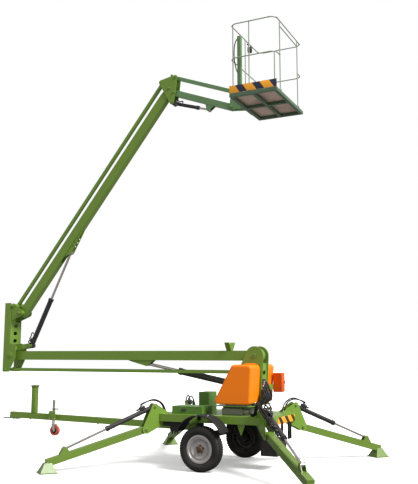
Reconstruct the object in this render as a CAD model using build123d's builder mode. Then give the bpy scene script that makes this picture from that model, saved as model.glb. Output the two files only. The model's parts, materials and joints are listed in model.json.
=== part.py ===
from build123d import *
import math
import os

os.makedirs("parts", exist_ok=True)

# Towed articulating boom lift, millimetres. X runs from the tow eye (-) to the rear (+), Y is across
# and Z is up. The origin is on the ground at the middle of the machine standing on its outriggers,
# with the lower boom over the drawbar. Side-view points are (x from the axle, z) until AXLE_X is added.

# Clearances
PIN_FIT = 0.1  # radial, a hub on its pin or a rod in its gland
SEAT = 0.3  # between bolted pieces
RUN_GAP = 6.0  # between plates and what turns between them
EYE_GAP = 5.0  # beside a rod's eye

# Running gear
TYRE_D = 630.0
TYRE_W = 175.0
RIM_SEAT_R = 178.0
RIM_FLANGE_R = 196.0
RIM_W = 150.0
TRACK = 1610.0
STUB_R = 20.0
GUARD_R = 432.0
GUARD_T = 5.0

# Chassis
DECK_X = (-830.0, 930.0)
DECK_HALF_Y = 600.0
DECK_TOP = 756.0
DECK_H = 108.0
DECK_WALL = 8.0
RIB_COUNT = 3

# Outriggers, all four alike: drawn in the leg's own upright plane as (s along the leg, z)
LEG_AZIMUTH = 50.0
KNEE = (979.0, 699.0)
PLATE_T = 12.0
TOP_PIN_S = -129.0  # the cylinder's upper pin, inboard of the knee
TOP_PIN_Z = 857.0
KNEE_Z = 533.0
KNEE_R = 22.0
LUG_S = 1199.0
LUG_Z = 313.0
LEG_SPAN = 1435.0  # knee to the middle of the foot
LEG_SECTION = 100.0
LEG_END_Z = 138.0
FOOT_BASE = 250.0
FOOT_PLATE_T = 12.0
LEG_PIN_R = 14.0
LEG_BARREL_R = 34.0
LEG_ROD_R = 16.0
LEG_BARREL_L = 790.0
LEG_ROD_L = 690.0

# Drawbar, from under the deck out to the tow eye
TOW_REACH = 4270.0
BAR_W = 80.0
BAR_H = 100.0
BAR_ROOT = (-450.0, 523.0)
BAR_TIP = (-4100.0, 590.0)
EYE_R = 20.0
EYE_PLATE_T = 15.0
REST_X = -3600.0
REST_TOP = 1100.0
REST_SECTION = 80.0
REST_PLATE = 180.0
REST_PLATE_T = 14.0
JOCKEY_X = -3130.0
JOCKEY_TUBE_R = 25.0
JOCKEY_LEG_R = 19.0
JOCKEY_TOP = 860.0
JOCKEY_TUBE_BOTTOM = 470.0
JOCKEY_WHEEL_R = 85.0
JOCKEY_WHEEL_W = 50.0
JOCKEY_AXLE_Z = 367.0
JOCKEY_TRAIL = 35.0

# Turret
SLEW_X = 300.0
RING_R = 300.0
RING_TOP = 860.0
TRAY_Z = 882.0
TRAY_T = 10.0
TRAY_X = (20.0, 600.0)
TRAY_HALF_Y = 460.0
CHEEK_Y = 104.0  # inner face of a turret side plate
CHEEK_T = 14.0
WEB_X = 650.0
BOOM_PIVOT = (540.0, 1610.0)
PIVOT_R = 30.0
HEAD_R = 140.0
LIFT_BASE = (350.0, 1150.0)

# Lower parallelogram: the boom above, a pair of tie bars below
LOWER_LENGTH = 4600.0
BOOM_H = 150.0
BOOM_W = 110.0
TIE_OFFSET = (-100.0, -245.0)
TIE_Y = (64.0, 92.0)
TIE_H = 50.0
TIE_PIN_R = 18.0
LIFT_LUG = (-1360.0, 1480.0)
LIFT_PIN_R = 20.0
LIFT_BARREL_R = 50.0
LIFT_ROD_R = 25.0
LIFT_BARREL_L = 1150.0
LIFT_ROD_L = 1190.0

# Mast between the two booms
MAST_Y = 138.0  # inner face of a mast side plate
MAST_T = 12.0
UPPER_PIVOT = (-3900.0, 2350.0)
UPPER_TIE_OFFSET = (-150.0, 130.0)
UPPER_BASE = (-3710.0, 1780.0)

# Upper boom
UPPER_LENGTH = 4705.0
UPPER_ANGLE = 51.6
UPPER_TIE_W = 50.0
UPPER_LUG_S = 1421.0
UPPER_LUG_DROP = 120.0
UPPER_PIN_R = 18.0
UPPER_BARREL_R = 42.0
UPPER_ROD_R = 21.0
UPPER_BARREL_L = 900.0
UPPER_ROD_L = 1190.0

# Head, jib and platform
HEAD_Y = 62.0
HEAD_T = 10.0
JIB_FROM_HEAD = (90.0, -80.0)
JIB_TIE_OFFSET = (30.0, 260.0)
JIB_BASE_FROM_HEAD = (60.0, -250.0)
JIB_LENGTH = 1127.0
JIB_ANGLE = -21.3
JIB_H = 100.0
JIB_W = 80.0
JIB_TIE_H = 60.0
JIB_TIE_W = 40.0
JIB_LUG_S = 720.0
JIB_LUG_DROP = 125.0
JIB_PIN_R = 14.0
JIB_BARREL_R = 29.0
JIB_ROD_R = 16.0
JIB_BARREL_L = 500.0
JIB_ROD_L = 430.0
CAGE_GAP = 210.0  # jib's end pin to the platform frame
CAGE_DEPTH = 765.0
CAGE_HALF_Y = 620.0
CAGE_DROP = 60.0  # platform's underside below the jib's end pin
CAGE_TUBE = 50.0
FLOOR_T = 8.0
RAIL_HEIGHT = 1120.0
RAIL_R = 12.5
POST_STEP = 1.0  # posts are this much thinner than the rails they meet
TOE_H = 150.0
TOE_T = 4.0

# Smaller sizes shared by many pieces
PIN_HEAD = 8.0
EYE_WALL = 14.0
EYE_SIDE = 8.0
LUG_WALL = 18.0
LUG_T = 10.0
LUG_ROOT = 90.0
COLLAR_L = 45.0
COLLAR_RIM = 5.0
EYE_RIM = 4.0
END_GAP = 1.0
BOSS_WALL = 20.0
HANGER_T = 30.0

# Chassis details
DECK_CORNER = 60.0
RAIL_W = 80.0
RIB_T = 40.0
TOP_EYE_R = 48.0
KNEE_EYE_R = 62.0
BRACKET_ROOT = 240.0
HANGER_X = (-790.0, -490.0)
HANGER_L = 60.0
HANGER_HALF_Y = 60.0
EYE_HEAD_R = 45.0
EYE_PLATE_END = -3910.0
REST_CORNER = 8.0
LEG_TAIL = 20.0
FOOT_LIP = 10.0

# Jockey wheel details
JOCKEY_CLAMP_T = 12.0
JOCKEY_CLAMP_L = 70.0
JOCKEY_CLAMP_H = 150.0
JOCKEY_CAP_T = 12.0
JOCKEY_CRANK_L = 110.0
JOCKEY_CRANK_R = 8.0
JOCKEY_PIN_R = 8.0
FORK_CROWN_T = 10.0
FORK_T = 6.0
FORK_EYE_R = 18.0
FORK_ROOT = 60.0

# Axle, rim and mudguard details
AXLE_SECTION = 80.0
AXLE_CORNER = 8.0
ARM_RUN = -150.0
ARM_RISE = 125.0
ARM_T = 24.0
ARM_R = 50.0
ARM_GAP = 12.0
HANGER_IN = 490.0
HANGER_W = 60.0
RIM_T = 8.0
RIM_EDGE = 8.0
FLANGE_PLAY = 4.0
HUB_R = 62.0
DISH_Y = 40.0
DISH_DEPTH = 20.0
GUARD_OVERHANG = 22.0
GUARD_DROP = 250.0
GUARD_STAY_X = 110.0
GUARD_STAY_W = 40.0
GUARD_STAY_H = 24.0

# Turret details
SPIGOT_R = 100.0
MOTOR_R = 42.0
MOTOR_Z = 812.0
MOTOR_L = 540.0
TRAY_CORNER = 30.0
CHEEK_X = (60.0, 648.0)
WEB_T = 10.0
WEB_LIP = 16.0
WEB_TOP = 1500.0
WEB_HOLES_Z = (1000.0, 1180.0, 1360.0)
WEB_HOLE_L = 110.0
WEB_HOLE_W = 60.0
BOX_Y = (350.0, 500.0)
BOX_Z = (1060.0, 1350.0)
BOX_DEPTH = 130.0
BOX_ARM_H = 80.0
BOX_ARM_T = 8.0
BOX_CORNER = 12.0
BOX_WALL = 4.0
HINGE_X = (360.0, 404.0, 560.0)
HINGE_KNUCKLE = 40.0
HINGE_KNUCKLE_MID = 152.0
HINGE_Y = 130.0
HINGE_Z = 1490.0
HINGE_R = 8.0
HINGE_PIN_R = 4.0
HINGE_LEAF = 40.0
HOOD_Y = (126.0, 470.0)
HOOD_T = 6.0
HOOD_OUTLINE = [(0.0, 900.0), (606.0, 900.0), (638.0, 1480.0), (320.0, 1480.0)]
HOOD_TOP_R = 60.0
HOOD_EDGE_R = 36.0
UNIT_X = 400.0
UNIT_L = 320.0
UNIT_H = 340.0
UNIT_GAP = 40.0
UNIT_CORNER = 20.0
TOOLBOX_X = (-640.0, -130.0)
TOOLBOX_Y = (-500.0, -160.0)
TOOLBOX_H = 104.0
LID_T = 8.0
LID_KNUCKLE_R = 6.0
LID_KNUCKLE_L = 60.0
LID_KNUCKLE_IN = 90.0
TALL_BOX_X = (-530.0, -350.0)
TALL_BOX_Y = (180.0, 480.0)
TALL_BOX_H = 288.0
UNDER_BOX_X = (700.0, 950.0)
UNDER_BOX_Y = (-320.0, 100.0)
UNDER_BOX_Z = 200.0
UNDER_BOX_H = 230.0

# Boom details
BOOM_ROOT_R = 110.0
MAST_PIN_R = 25.0
SADDLE_X = 90.0
SADDLE_ROOT = 20.0
SADDLE_HALF = 110.0
SADDLE_H = 130.0
SADDLE_T = 12.0
SADDLE_L = 80.0
MAST_OUTLINE = [
    (-4212.0, 1325.0),
    (-4115.0, 1325.0),
    (-4000.0, 1540.0),
    (-4000.0, 1680.0),
    (-4085.0, 1800.0),
    (-4085.0, 2150.0),
    (-3860.0, 2280.0),
    (-3840.0, 2400.0),
    (-4010.0, 2530.0),
    (-4100.0, 2530.0),
    (-4212.0, 2430.0),
]
MAST_CORNER = 8.0
MAST_EYE_R = 62.0
MAST_WEBS = ((-4097.0, 1800.0, 2150.0), (-4212.0, 1720.0, 2400.0))  # x, low z, high z
MAST_HOLE_L = 110.0
MAST_HOLE_W = 70.0
EAR_R = 40.0
EAR_ROOT_Z = 1900.0
EAR_ROOT_H = 190.0
BOOM_TAPER = 180.0
# Slots for the rods' eyes: top from the beam's centre line, reach towards the pivot, reach past the lug
UPPER_POCKET = (-20.0, 260.0, 125.0)
JIB_POCKET = (-28.0, 80.0, 70.0)
BOOM_END_R = 55.0
HEAD_PIN_R = 20.0
JIB_ROOT_R = 44.0
CARRIER_HALF_Y = 300.0
RAIL_BEND = 110.0
POST_INSET = 90.0
POST_SECTION = 60.0
POST_H = 900.0
CONSOLE_L = 160.0
CONSOLE_H = 110.0

# Where the axle stands, so that the origin is at the middle of the machine
LEG_DIR = (math.cos(math.radians(LEG_AZIMUTH)), math.sin(math.radians(LEG_AZIMUTH)))
FOOT_HALF = FOOT_BASE / 2 * (LEG_DIR[0] + LEG_DIR[1])
REAR_REACH = KNEE[0] + LEG_SPAN * LEG_DIR[0] + FOOT_HALF
AXLE_X = (TOW_REACH - REAR_REACH) / 2

SIDES = {"near": -1, "far": 1}
CORNERS = {  # name: (sign of x, sign of y)
    "front_near": (-1, -1),
    "front_far": (-1, 1),
    "rear_near": (1, -1),
    "rear_far": (1, 1),
}


def at(point, offset=(0.0, 0.0)):
    """A side-view point in the machine's own X and Z."""
    return (AXLE_X + point[0] + offset[0], point[1] + offset[1])


def along(start, angle, distance, drop=0.0):
    """The point at a distance along a line that leaves start at an angle, and so far below it."""
    a = math.radians(angle)
    return (
        start[0] + distance * math.cos(a) + drop * math.sin(a),
        start[1] + distance * math.sin(a) - drop * math.cos(a),
    )


def side(y=0.0):
    """The upright side-view plane at y: its own x is X, its own y is Z."""
    return Plane(origin=(0, y, 0), x_dir=(1, 0, 0), z_dir=(0, -1, 0))


def leg_plane(corner):
    """The upright plane through a corner's knee, with its own x outward along the leg."""
    sx, sy = CORNERS[corner]
    d = (sx * LEG_DIR[0], sy * LEG_DIR[1])
    return Plane(origin=(AXLE_X + sx * KNEE[0], sy * KNEE[1], 0), x_dir=(*d, 0), z_dir=(d[1], -d[0], 0))


def disc(point, radius):
    """A circle at a point of the sketch in hand."""
    with Locations(point):
        Circle(radius)


def strip(start, end, width):
    """A straight strip with round ends from one point to another."""
    mid = ((start[0] + end[0]) / 2, (start[1] + end[1]) / 2)
    run = (end[0] - start[0], end[1] - start[1])
    with Locations(Location((*mid, 0), (0, 0, math.degrees(math.atan2(run[1], run[0]))))):
        SlotCenterToCenter(math.hypot(*run), width)


def bar(start, end, width):
    """A straight strip with square ends from one point to another."""
    mid = ((start[0] + end[0]) / 2, (start[1] + end[1]) / 2)
    run = (end[0] - start[0], end[1] - start[1])
    with Locations(mid):
        Rectangle(math.hypot(*run), width, rotation=math.degrees(math.atan2(run[1], run[0])))


def pocket(start, angle, distance, size, height):
    """The slot that a rod's eye swings up into, cut from a beam's underside about the lug."""
    top, back, ahead = size
    bar(
        along(start, angle, distance - back, (height - top) / 2),
        along(start, angle, distance + ahead, (height - top) / 2),
        height + top,
    )


def pair(inner, thickness):
    """The lower faces, across Y, of two plates that stand so far either side of the middle."""
    return (-inner - thickness, inner)


def save(part, name):
    """Labels a finished piece and writes its file."""
    part.label = name
    export_step(part, f"parts/{name}.step")


def line_plane(plane, start, end):
    """A plane at start, drawn in plane, that faces end."""
    run = (end[0] - start[0], end[1] - start[1])
    way = plane.x_dir * run[0] + plane.y_dir * run[1]
    origin = plane.origin + plane.x_dir * start[0] + plane.y_dir * start[1]
    return Plane(origin=origin, x_dir=plane.z_dir, z_dir=way)


def barrel(plane, start, end, radius, length, rod_r, pin_r):
    """A cylinder's barrel: a cross eye on its pin, the tube, the gland's collar and the rod's bore."""
    tube = line_plane(plane, start, end)
    with BuildPart() as piece:
        with BuildSketch(plane):
            disc(start, radius + EYE_RIM)
        extrude(amount=radius - EYE_RIM, both=True)
        with BuildSketch(tube):
            Circle(radius)
        extrude(amount=length)
        with BuildSketch(tube.offset(length - COLLAR_L)):
            Circle(radius + COLLAR_RIM)
        extrude(amount=COLLAR_L)
        with BuildSketch(tube.offset(radius + COLLAR_L)):
            Circle(rod_r + PIN_FIT)
        extrude(amount=length, mode=Mode.SUBTRACT)
        with BuildSketch(plane):
            disc(start, pin_r + PIN_FIT)
        extrude(amount=2 * radius, both=True, mode=Mode.SUBTRACT)
    return piece.part


def rod(plane, start, end, radius, length, pin_r):
    """A cylinder's rod with its eye, and the stub pin that the eye carries between the lugs."""
    with BuildPart() as piece:
        with BuildSketch(plane):
            disc(end, pin_r + EYE_WALL)
        extrude(amount=eye_half(pin_r), both=True)
        with BuildSketch(plane):
            disc(end, pin_r)
        extrude(amount=eye_half(pin_r) + EYE_GAP - END_GAP, both=True)
        with BuildSketch(line_plane(plane, end, start)):
            Circle(radius)
        extrude(amount=length)
    return piece.part


def eye_half(pin_r):
    """Half the width of a rod's eye."""
    return pin_r + EYE_SIDE


def lug_faces(pin_r):
    """The lower faces of the two lug plates beside a rod's eye."""
    return pair(eye_half(pin_r) + EYE_GAP, LUG_T)


# --- Chassis: an upturned tray with ribs, and a pair of plates at each corner for an outrigger
deck_l = DECK_X[1] - DECK_X[0]
deck_mid = AXLE_X + (DECK_X[0] + DECK_X[1]) / 2
deck_bottom = DECK_TOP - DECK_H
leg_gap = LEG_SECTION / 2 + RUN_GAP
with BuildPart() as chassis_frame:
    with BuildSketch(Plane.XY.offset(deck_bottom)):
        with Locations((deck_mid, 0)):
            RectangleRounded(deck_l, 2 * DECK_HALF_Y, DECK_CORNER)
    extrude(amount=DECK_H)
    with BuildSketch(Plane.XY.offset(deck_bottom)):
        with Locations((deck_mid, 0)):
            RectangleRounded(deck_l - 2 * RAIL_W, 2 * (DECK_HALF_Y - RAIL_W), DECK_CORNER / 2)
            with GridLocations(deck_l / (RIB_COUNT + 1), 0, RIB_COUNT, 1):
                Rectangle(RIB_T, 2 * DECK_HALF_Y, mode=Mode.SUBTRACT)
    extrude(amount=DECK_H - DECK_WALL, mode=Mode.SUBTRACT)
    for corner in CORNERS:
        for y in pair(leg_gap, PLATE_T):
            with BuildSketch(leg_plane(corner).offset(y)):
                disc((TOP_PIN_S, TOP_PIN_Z), TOP_EYE_R)
                disc((0, KNEE_Z), KNEE_EYE_R)
                with Locations((TOP_PIN_S - BRACKET_ROOT / 2, deck_bottom + DECK_H / 2)):
                    Rectangle(BRACKET_ROOT, DECK_H)
                make_hull()
            extrude(amount=PLATE_T)
        with BuildSketch(leg_plane(corner)):
            disc((TOP_PIN_S, TOP_PIN_Z), LEG_PIN_R)
            disc((0, KNEE_Z), KNEE_R)
        extrude(amount=leg_gap + PLATE_T + PIN_HEAD, both=True)
save(chassis_frame.part, "chassis_frame")

# --- Drawbar under the deck and out to the tow eye
bar_slope = (BAR_TIP[1] - BAR_ROOT[1]) / (BAR_TIP[0] - BAR_ROOT[0])


def bar_z(x):
    """Height of the drawbar's centre line at a distance from the axle."""
    return BAR_ROOT[1] + bar_slope * (x - BAR_ROOT[0])


with BuildPart() as drawbar:
    with BuildSketch(side()):
        bar(at(BAR_ROOT), at(BAR_TIP), BAR_H)
    extrude(amount=BAR_W / 2, both=True)
    for x in HANGER_X:
        top = deck_bottom - SEAT
        low = bar_z(x)
        with BuildSketch(side()):
            with Locations(at((x, (top + low) / 2))):
                Rectangle(HANGER_L, top - low)
        extrude(amount=HANGER_HALF_Y, both=True)
save(drawbar.part, "drawbar")

bar_lean = math.cos(math.atan(bar_slope))
eye_top = bar_z(EYE_PLATE_END) - BAR_H / 2 / bar_lean - SEAT
eye_mid = TOW_REACH - EYE_HEAD_R
with BuildPart() as tow_eye:
    with BuildSketch(Plane.XY.offset(eye_top - EYE_PLATE_T)):
        with Locations((AXLE_X - eye_mid, 0)):
            Circle(EYE_HEAD_R)
        with Locations((AXLE_X + (EYE_PLATE_END - eye_mid) / 2, 0)):
            Rectangle(EYE_PLATE_END + eye_mid, BAR_W)
        with Locations((AXLE_X - eye_mid, 0)):
            Circle(EYE_R, mode=Mode.SUBTRACT)
    extrude(amount=EYE_PLATE_T)
save(tow_eye.part, "tow_eye")

rest_foot = bar_z(REST_X + REST_SECTION / 2) + BAR_H / 2 + SEAT
rest_foot = max(rest_foot, bar_z(REST_X - REST_SECTION / 2) + BAR_H / 2 + SEAT)
with BuildPart() as boom_rest:
    with BuildSketch(Plane.XY.offset(rest_foot)):
        with Locations((AXLE_X + REST_X, 0)):
            RectangleRounded(REST_SECTION, REST_SECTION, REST_CORNER)
    extrude(amount=REST_TOP - REST_PLATE_T - rest_foot)
    with BuildSketch(Plane.XY.offset(REST_TOP - REST_PLATE_T)):
        with Locations((AXLE_X + REST_X, 0)):
            Rectangle(REST_PLATE, REST_PLATE)
    extrude(amount=REST_PLATE_T)
save(boom_rest.part, "boom_rest")

# --- Jockey wheel on the near side of the drawbar
jockey_x = AXLE_X + JOCKEY_X
jockey_y = -(BAR_W / 2 + SEAT + JOCKEY_CLAMP_T + JOCKEY_TUBE_R)
jockey_axle_x = jockey_x + JOCKEY_TRAIL
clamp_mid = bar_z(JOCKEY_X)
with BuildPart() as jockey_tube:
    with BuildSketch(Plane.XY.offset(JOCKEY_TUBE_BOTTOM)):
        with Locations((jockey_x, jockey_y)):
            Circle(JOCKEY_TUBE_R)
    extrude(amount=JOCKEY_TOP - JOCKEY_TUBE_BOTTOM)
    with BuildSketch(Plane.XY.offset(clamp_mid - JOCKEY_CLAMP_H / 2)):
        with Locations((jockey_x, jockey_y / 2 - (BAR_W / 2 + SEAT) / 2)):
            Rectangle(JOCKEY_CLAMP_L, -jockey_y - BAR_W / 2 - SEAT)
    extrude(amount=JOCKEY_CLAMP_H)
    with BuildSketch(Plane.XY.offset(JOCKEY_TUBE_BOTTOM)):
        with Locations((jockey_x, jockey_y)):
            Circle(JOCKEY_LEG_R + PIN_FIT)
    extrude(amount=JOCKEY_TOP - JOCKEY_TUBE_BOTTOM - JOCKEY_CAP_T, mode=Mode.SUBTRACT)
    with BuildSketch(Plane.XZ.offset(-jockey_y)):
        with Locations((jockey_x + JOCKEY_CRANK_L / 2, JOCKEY_TOP + JOCKEY_CRANK_R)):
            SlotCenterToCenter(JOCKEY_CRANK_L, 2 * JOCKEY_CRANK_R)
    extrude(amount=JOCKEY_CRANK_R, both=True)
save(jockey_tube.part, "jockey_tube")

fork_top = JOCKEY_AXLE_Z + JOCKEY_WHEEL_R + RUN_GAP
with BuildPart() as jockey_leg:
    with BuildSketch(Plane.XY.offset(fork_top + FORK_CROWN_T + SEAT)):
        with Locations((jockey_x, jockey_y)):
            Circle(JOCKEY_LEG_R)
    extrude(amount=JOCKEY_TOP - JOCKEY_CAP_T - SEAT - fork_top - FORK_CROWN_T - SEAT)
save(jockey_leg.part, "jockey_leg")

fork_gap = JOCKEY_WHEEL_W / 2 + EYE_GAP
with BuildPart() as jockey_fork:
    with BuildSketch(Plane.XY.offset(fork_top)):
        with Locations((jockey_x + JOCKEY_TRAIL / 2, jockey_y)):
            SlotCenterToCenter(JOCKEY_TRAIL, 2 * (fork_gap + FORK_T))
    extrude(amount=FORK_CROWN_T)
    for y in pair(fork_gap, FORK_T):
        with BuildSketch(side(jockey_y + y)):
            disc((jockey_axle_x, JOCKEY_AXLE_Z), FORK_EYE_R)
            with Locations((jockey_x + JOCKEY_TRAIL / 2, fork_top)):
                Rectangle(FORK_ROOT, 2 * FORK_CROWN_T - 2 * SEAT)
            make_hull()
        extrude(amount=-FORK_T)
    with BuildSketch(side(jockey_y)):
        disc((jockey_axle_x, JOCKEY_AXLE_Z), JOCKEY_PIN_R)
    extrude(amount=fork_gap + FORK_T, both=True)
save(jockey_fork.part, "jockey_fork")

with BuildPart() as jockey_wheel:
    with BuildSketch(side(jockey_y)):
        disc((jockey_axle_x, JOCKEY_AXLE_Z), JOCKEY_WHEEL_R)
        with Locations((jockey_axle_x, JOCKEY_AXLE_Z)):
            Circle(JOCKEY_PIN_R + PIN_FIT, mode=Mode.SUBTRACT)
    extrude(amount=JOCKEY_WHEEL_W / 2, both=True)
save(jockey_wheel.part, "jockey_wheel")

# --- Axle, wheels and mudguards
hub_z = TYRE_D / 2
arm_y = TRACK / 2 - RIM_W / 2 - ARM_GAP - ARM_T
with BuildPart() as axle:
    with BuildSketch(side()):
        with Locations(at((ARM_RUN, hub_z + ARM_RISE))):
            RectangleRounded(AXLE_SECTION, AXLE_SECTION, AXLE_CORNER)
    extrude(amount=arm_y, both=True)
    for y in pair(arm_y, ARM_T):
        with BuildSketch(side(y)):
            disc(at((ARM_RUN, hub_z + ARM_RISE)), ARM_R)
            disc(at((0, hub_z)), ARM_R * 0.8)
            make_hull()
        extrude(amount=-ARM_T)
    for y in pair(arm_y, -(arm_y - TRACK / 2 - RIM_W / 2)):
        with BuildSketch(side(y)):
            disc(at((0, hub_z)), STUB_R)
        extrude(amount=-(TRACK / 2 + RIM_W / 2 - arm_y))
    for y in pair(HANGER_IN, HANGER_W):
        with BuildSketch(side(y)):
            with Locations(at((ARM_RUN, (hub_z + ARM_RISE + deck_bottom - SEAT) / 2))):
                Rectangle(AXLE_SECTION, deck_bottom - SEAT - hub_z - ARM_RISE)
        extrude(amount=-HANGER_W)
save(axle.part, "axle")

for name, sign in SIDES.items():
    wheel_plane = side(sign * TRACK / 2)
    with BuildPart() as tyre:
        with BuildSketch(Plane(origin=(AXLE_X, sign * TRACK / 2, hub_z), x_dir=(0, 1, 0), z_dir=(1, 0, 0))):
            with BuildLine():
                Polyline(
                    (-RIM_W / 2 + RIM_EDGE + SEAT, RIM_SEAT_R),
                    (-RIM_W / 2 + RIM_EDGE + SEAT, RIM_FLANGE_R + FLANGE_PLAY),
                    (-TYRE_W / 2, TYRE_D / 2 * 0.8),
                    (-TYRE_W / 2 * 0.84, TYRE_D / 2 * 0.96),
                    (-TYRE_W / 2 * 0.62, TYRE_D / 2),
                    (TYRE_W / 2 * 0.62, TYRE_D / 2),
                    (TYRE_W / 2 * 0.84, TYRE_D / 2 * 0.96),
                    (TYRE_W / 2, TYRE_D / 2 * 0.8),
                    (RIM_W / 2 - RIM_EDGE - SEAT, RIM_FLANGE_R + FLANGE_PLAY),
                    (RIM_W / 2 - RIM_EDGE - SEAT, RIM_SEAT_R),
                    close=True,
                )
            make_face()
        revolve(axis=Axis((AXLE_X, 0, hub_z), (0, 1, 0)), revolution_arc=360)
    save(tyre.part, f"tyre_{name}")
    out = sign * TRACK / 2
    with BuildPart() as rim:
        with BuildSketch(Plane(origin=(AXLE_X, out, hub_z), x_dir=(0, sign, 0), z_dir=(sign, 0, 0))):
            with BuildLine():
                Polyline(
                    (-RIM_W / 2, RIM_SEAT_R - RIM_T),
                    (-RIM_W / 2, RIM_FLANGE_R),
                    (-RIM_W / 2 + RIM_EDGE, RIM_FLANGE_R),
                    (-RIM_W / 2 + RIM_EDGE, RIM_SEAT_R),
                    (RIM_W / 2 - RIM_EDGE, RIM_SEAT_R),
                    (RIM_W / 2 - RIM_EDGE, RIM_FLANGE_R),
                    (RIM_W / 2, RIM_FLANGE_R),
                    (RIM_W / 2, RIM_SEAT_R - RIM_T),
                    (DISH_Y, RIM_SEAT_R - RIM_T),
                    (DISH_Y - DISH_DEPTH / 2, HUB_R * 1.4),
                    (DISH_Y, HUB_R),
                    (RIM_W / 2, HUB_R * 0.6),
                    (RIM_W / 2, STUB_R + PIN_FIT),
                    (-RIM_W / 2 + RIM_EDGE, STUB_R + PIN_FIT),
                    (-RIM_W / 2 + RIM_EDGE, HUB_R),
                    (DISH_Y - DISH_DEPTH, HUB_R * 1.4),
                    (DISH_Y - DISH_DEPTH / 2, RIM_SEAT_R - RIM_T),
                    close=True,
                )
            make_face()
        revolve(axis=Axis((AXLE_X, 0, hub_z), (0, 1, 0)), revolution_arc=360)
    save(rim.part, f"rim_{name}")

guard_y = (TRACK / 2 - TYRE_W / 2 - GUARD_OVERHANG, TRACK / 2 + TYRE_W / 2 + GUARD_OVERHANG)
with BuildPart() as mudguards:
    for sign in SIDES.values():
        with BuildSketch(side(sign * guard_y[0])):
            with Locations(at((0, hub_z))):
                Circle(GUARD_R)
                Circle(GUARD_R - GUARD_T, mode=Mode.SUBTRACT)
            with Locations(at((0, hub_z - GUARD_R + GUARD_DROP))):
                Rectangle(3 * GUARD_R, 2 * GUARD_R, mode=Mode.SUBTRACT)
        extrude(amount=-sign * (guard_y[1] - guard_y[0]))
        for x in (-GUARD_STAY_X, GUARD_STAY_X):
            stay_z = hub_z + math.sqrt((GUARD_R - GUARD_T) ** 2 - (GUARD_STAY_X + GUARD_STAY_W / 2) ** 2)
            with BuildSketch(side(sign * (DECK_HALF_Y + SEAT))):
                with Locations(at((x, stay_z - GUARD_STAY_H / 2 + GUARD_T))):
                    Rectangle(GUARD_STAY_W, GUARD_STAY_H)
            extrude(amount=-sign * (guard_y[1] - DECK_HALF_Y - SEAT))
save(mudguards.part, "mudguards")

# --- Outriggers: a leg with its flared foot, and the cylinder above it
leg_slope = (LEG_END_Z - KNEE_Z) / LEG_SPAN
top_pin = (TOP_PIN_S, TOP_PIN_Z)
leg_lug = (LUG_S, LUG_Z)
for corner in CORNERS:
    plane = leg_plane(corner)
    foot = plane.origin + plane.x_dir * LEG_SPAN
    level = Plane(origin=foot, x_dir=plane.x_dir, z_dir=(0, 0, 1))
    with BuildPart() as leg:
        with BuildSketch(plane):
            disc((0, KNEE_Z), LEG_SECTION / 2)
            bar((0, KNEE_Z), (LEG_SPAN + LEG_TAIL, LEG_END_Z + leg_slope * LEG_TAIL), LEG_SECTION)
        extrude(amount=LEG_SECTION / 2, both=True)
        for y in lug_faces(LEG_PIN_R):
            with BuildSketch(plane.offset(y)):
                disc(leg_lug, LEG_PIN_R + LUG_WALL)
                bar(
                    (LUG_S - LUG_ROOT, KNEE_Z + leg_slope * (LUG_S - LUG_ROOT)),
                    (LUG_S + LUG_ROOT, KNEE_Z + leg_slope * (LUG_S + LUG_ROOT)),
                    LEG_SECTION / 2,
                )
                make_hull()
            extrude(amount=LUG_T)
        with BuildSketch(level.offset(FOOT_PLATE_T)):
            Rectangle(FOOT_BASE - 2 * FOOT_LIP, FOOT_BASE - 2 * FOOT_LIP)
        with BuildSketch(level.offset(LEG_END_Z)):
            Rectangle(LEG_SECTION, LEG_SECTION)
        loft()
        with BuildSketch(level):
            Rectangle(FOOT_BASE, FOOT_BASE)
        extrude(amount=FOOT_PLATE_T)
        with BuildSketch(plane):
            disc((0, KNEE_Z), KNEE_R + PIN_FIT)
        extrude(amount=LEG_SECTION, both=True, mode=Mode.SUBTRACT)
    save(leg.part, f"outrigger_leg_{corner}")
    save(
        barrel(plane, top_pin, leg_lug, LEG_BARREL_R, LEG_BARREL_L, LEG_ROD_R, LEG_PIN_R),
        f"outrigger_barrel_{corner}",
    )
    save(rod(plane, top_pin, leg_lug, LEG_ROD_R, LEG_ROD_L, LEG_PIN_R), f"outrigger_rod_{corner}")

# --- Slewing base, turntable and turret
slew_x = AXLE_X + SLEW_X
with BuildPart() as slew_ring:
    with BuildSketch(Plane.XY.offset(DECK_TOP + SEAT)):
        with Locations((slew_x, 0)):
            Circle(RING_R)
            Circle(SPIGOT_R + PIN_FIT, mode=Mode.SUBTRACT)
    extrude(amount=RING_TOP - DECK_TOP - SEAT)
    with BuildSketch(Plane(origin=(slew_x, -RING_R - MOTOR_R / 2, MOTOR_Z), x_dir=(0, 1, 0), z_dir=(1, 0, 0))):
        Circle(MOTOR_R)
    extrude(amount=MOTOR_L / 2, both=True)
save(slew_ring.part, "slew_ring")

with BuildPart() as turntable:
    with BuildSketch(Plane.XY.offset(RING_TOP + 2)):
        with Locations((slew_x, 0)):
            Circle(RING_R - RUN_GAP)
    extrude(amount=TRAY_Z - RING_TOP - 2)
    with BuildSketch(Plane.XY.offset(TRAY_Z)):
        with Locations((AXLE_X + (TRAY_X[0] + TRAY_X[1]) / 2, 0)):
            RectangleRounded(TRAY_X[1] - TRAY_X[0], 2 * TRAY_HALF_Y, TRAY_CORNER)
    extrude(amount=TRAY_T)
    with BuildSketch(Plane.XY.offset(DECK_TOP + RUN_GAP)):
        with Locations((slew_x, 0)):
            Circle(SPIGOT_R)
    extrude(amount=TRAY_Z - DECK_TOP - RUN_GAP)
save(turntable.part, "turntable")

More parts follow.
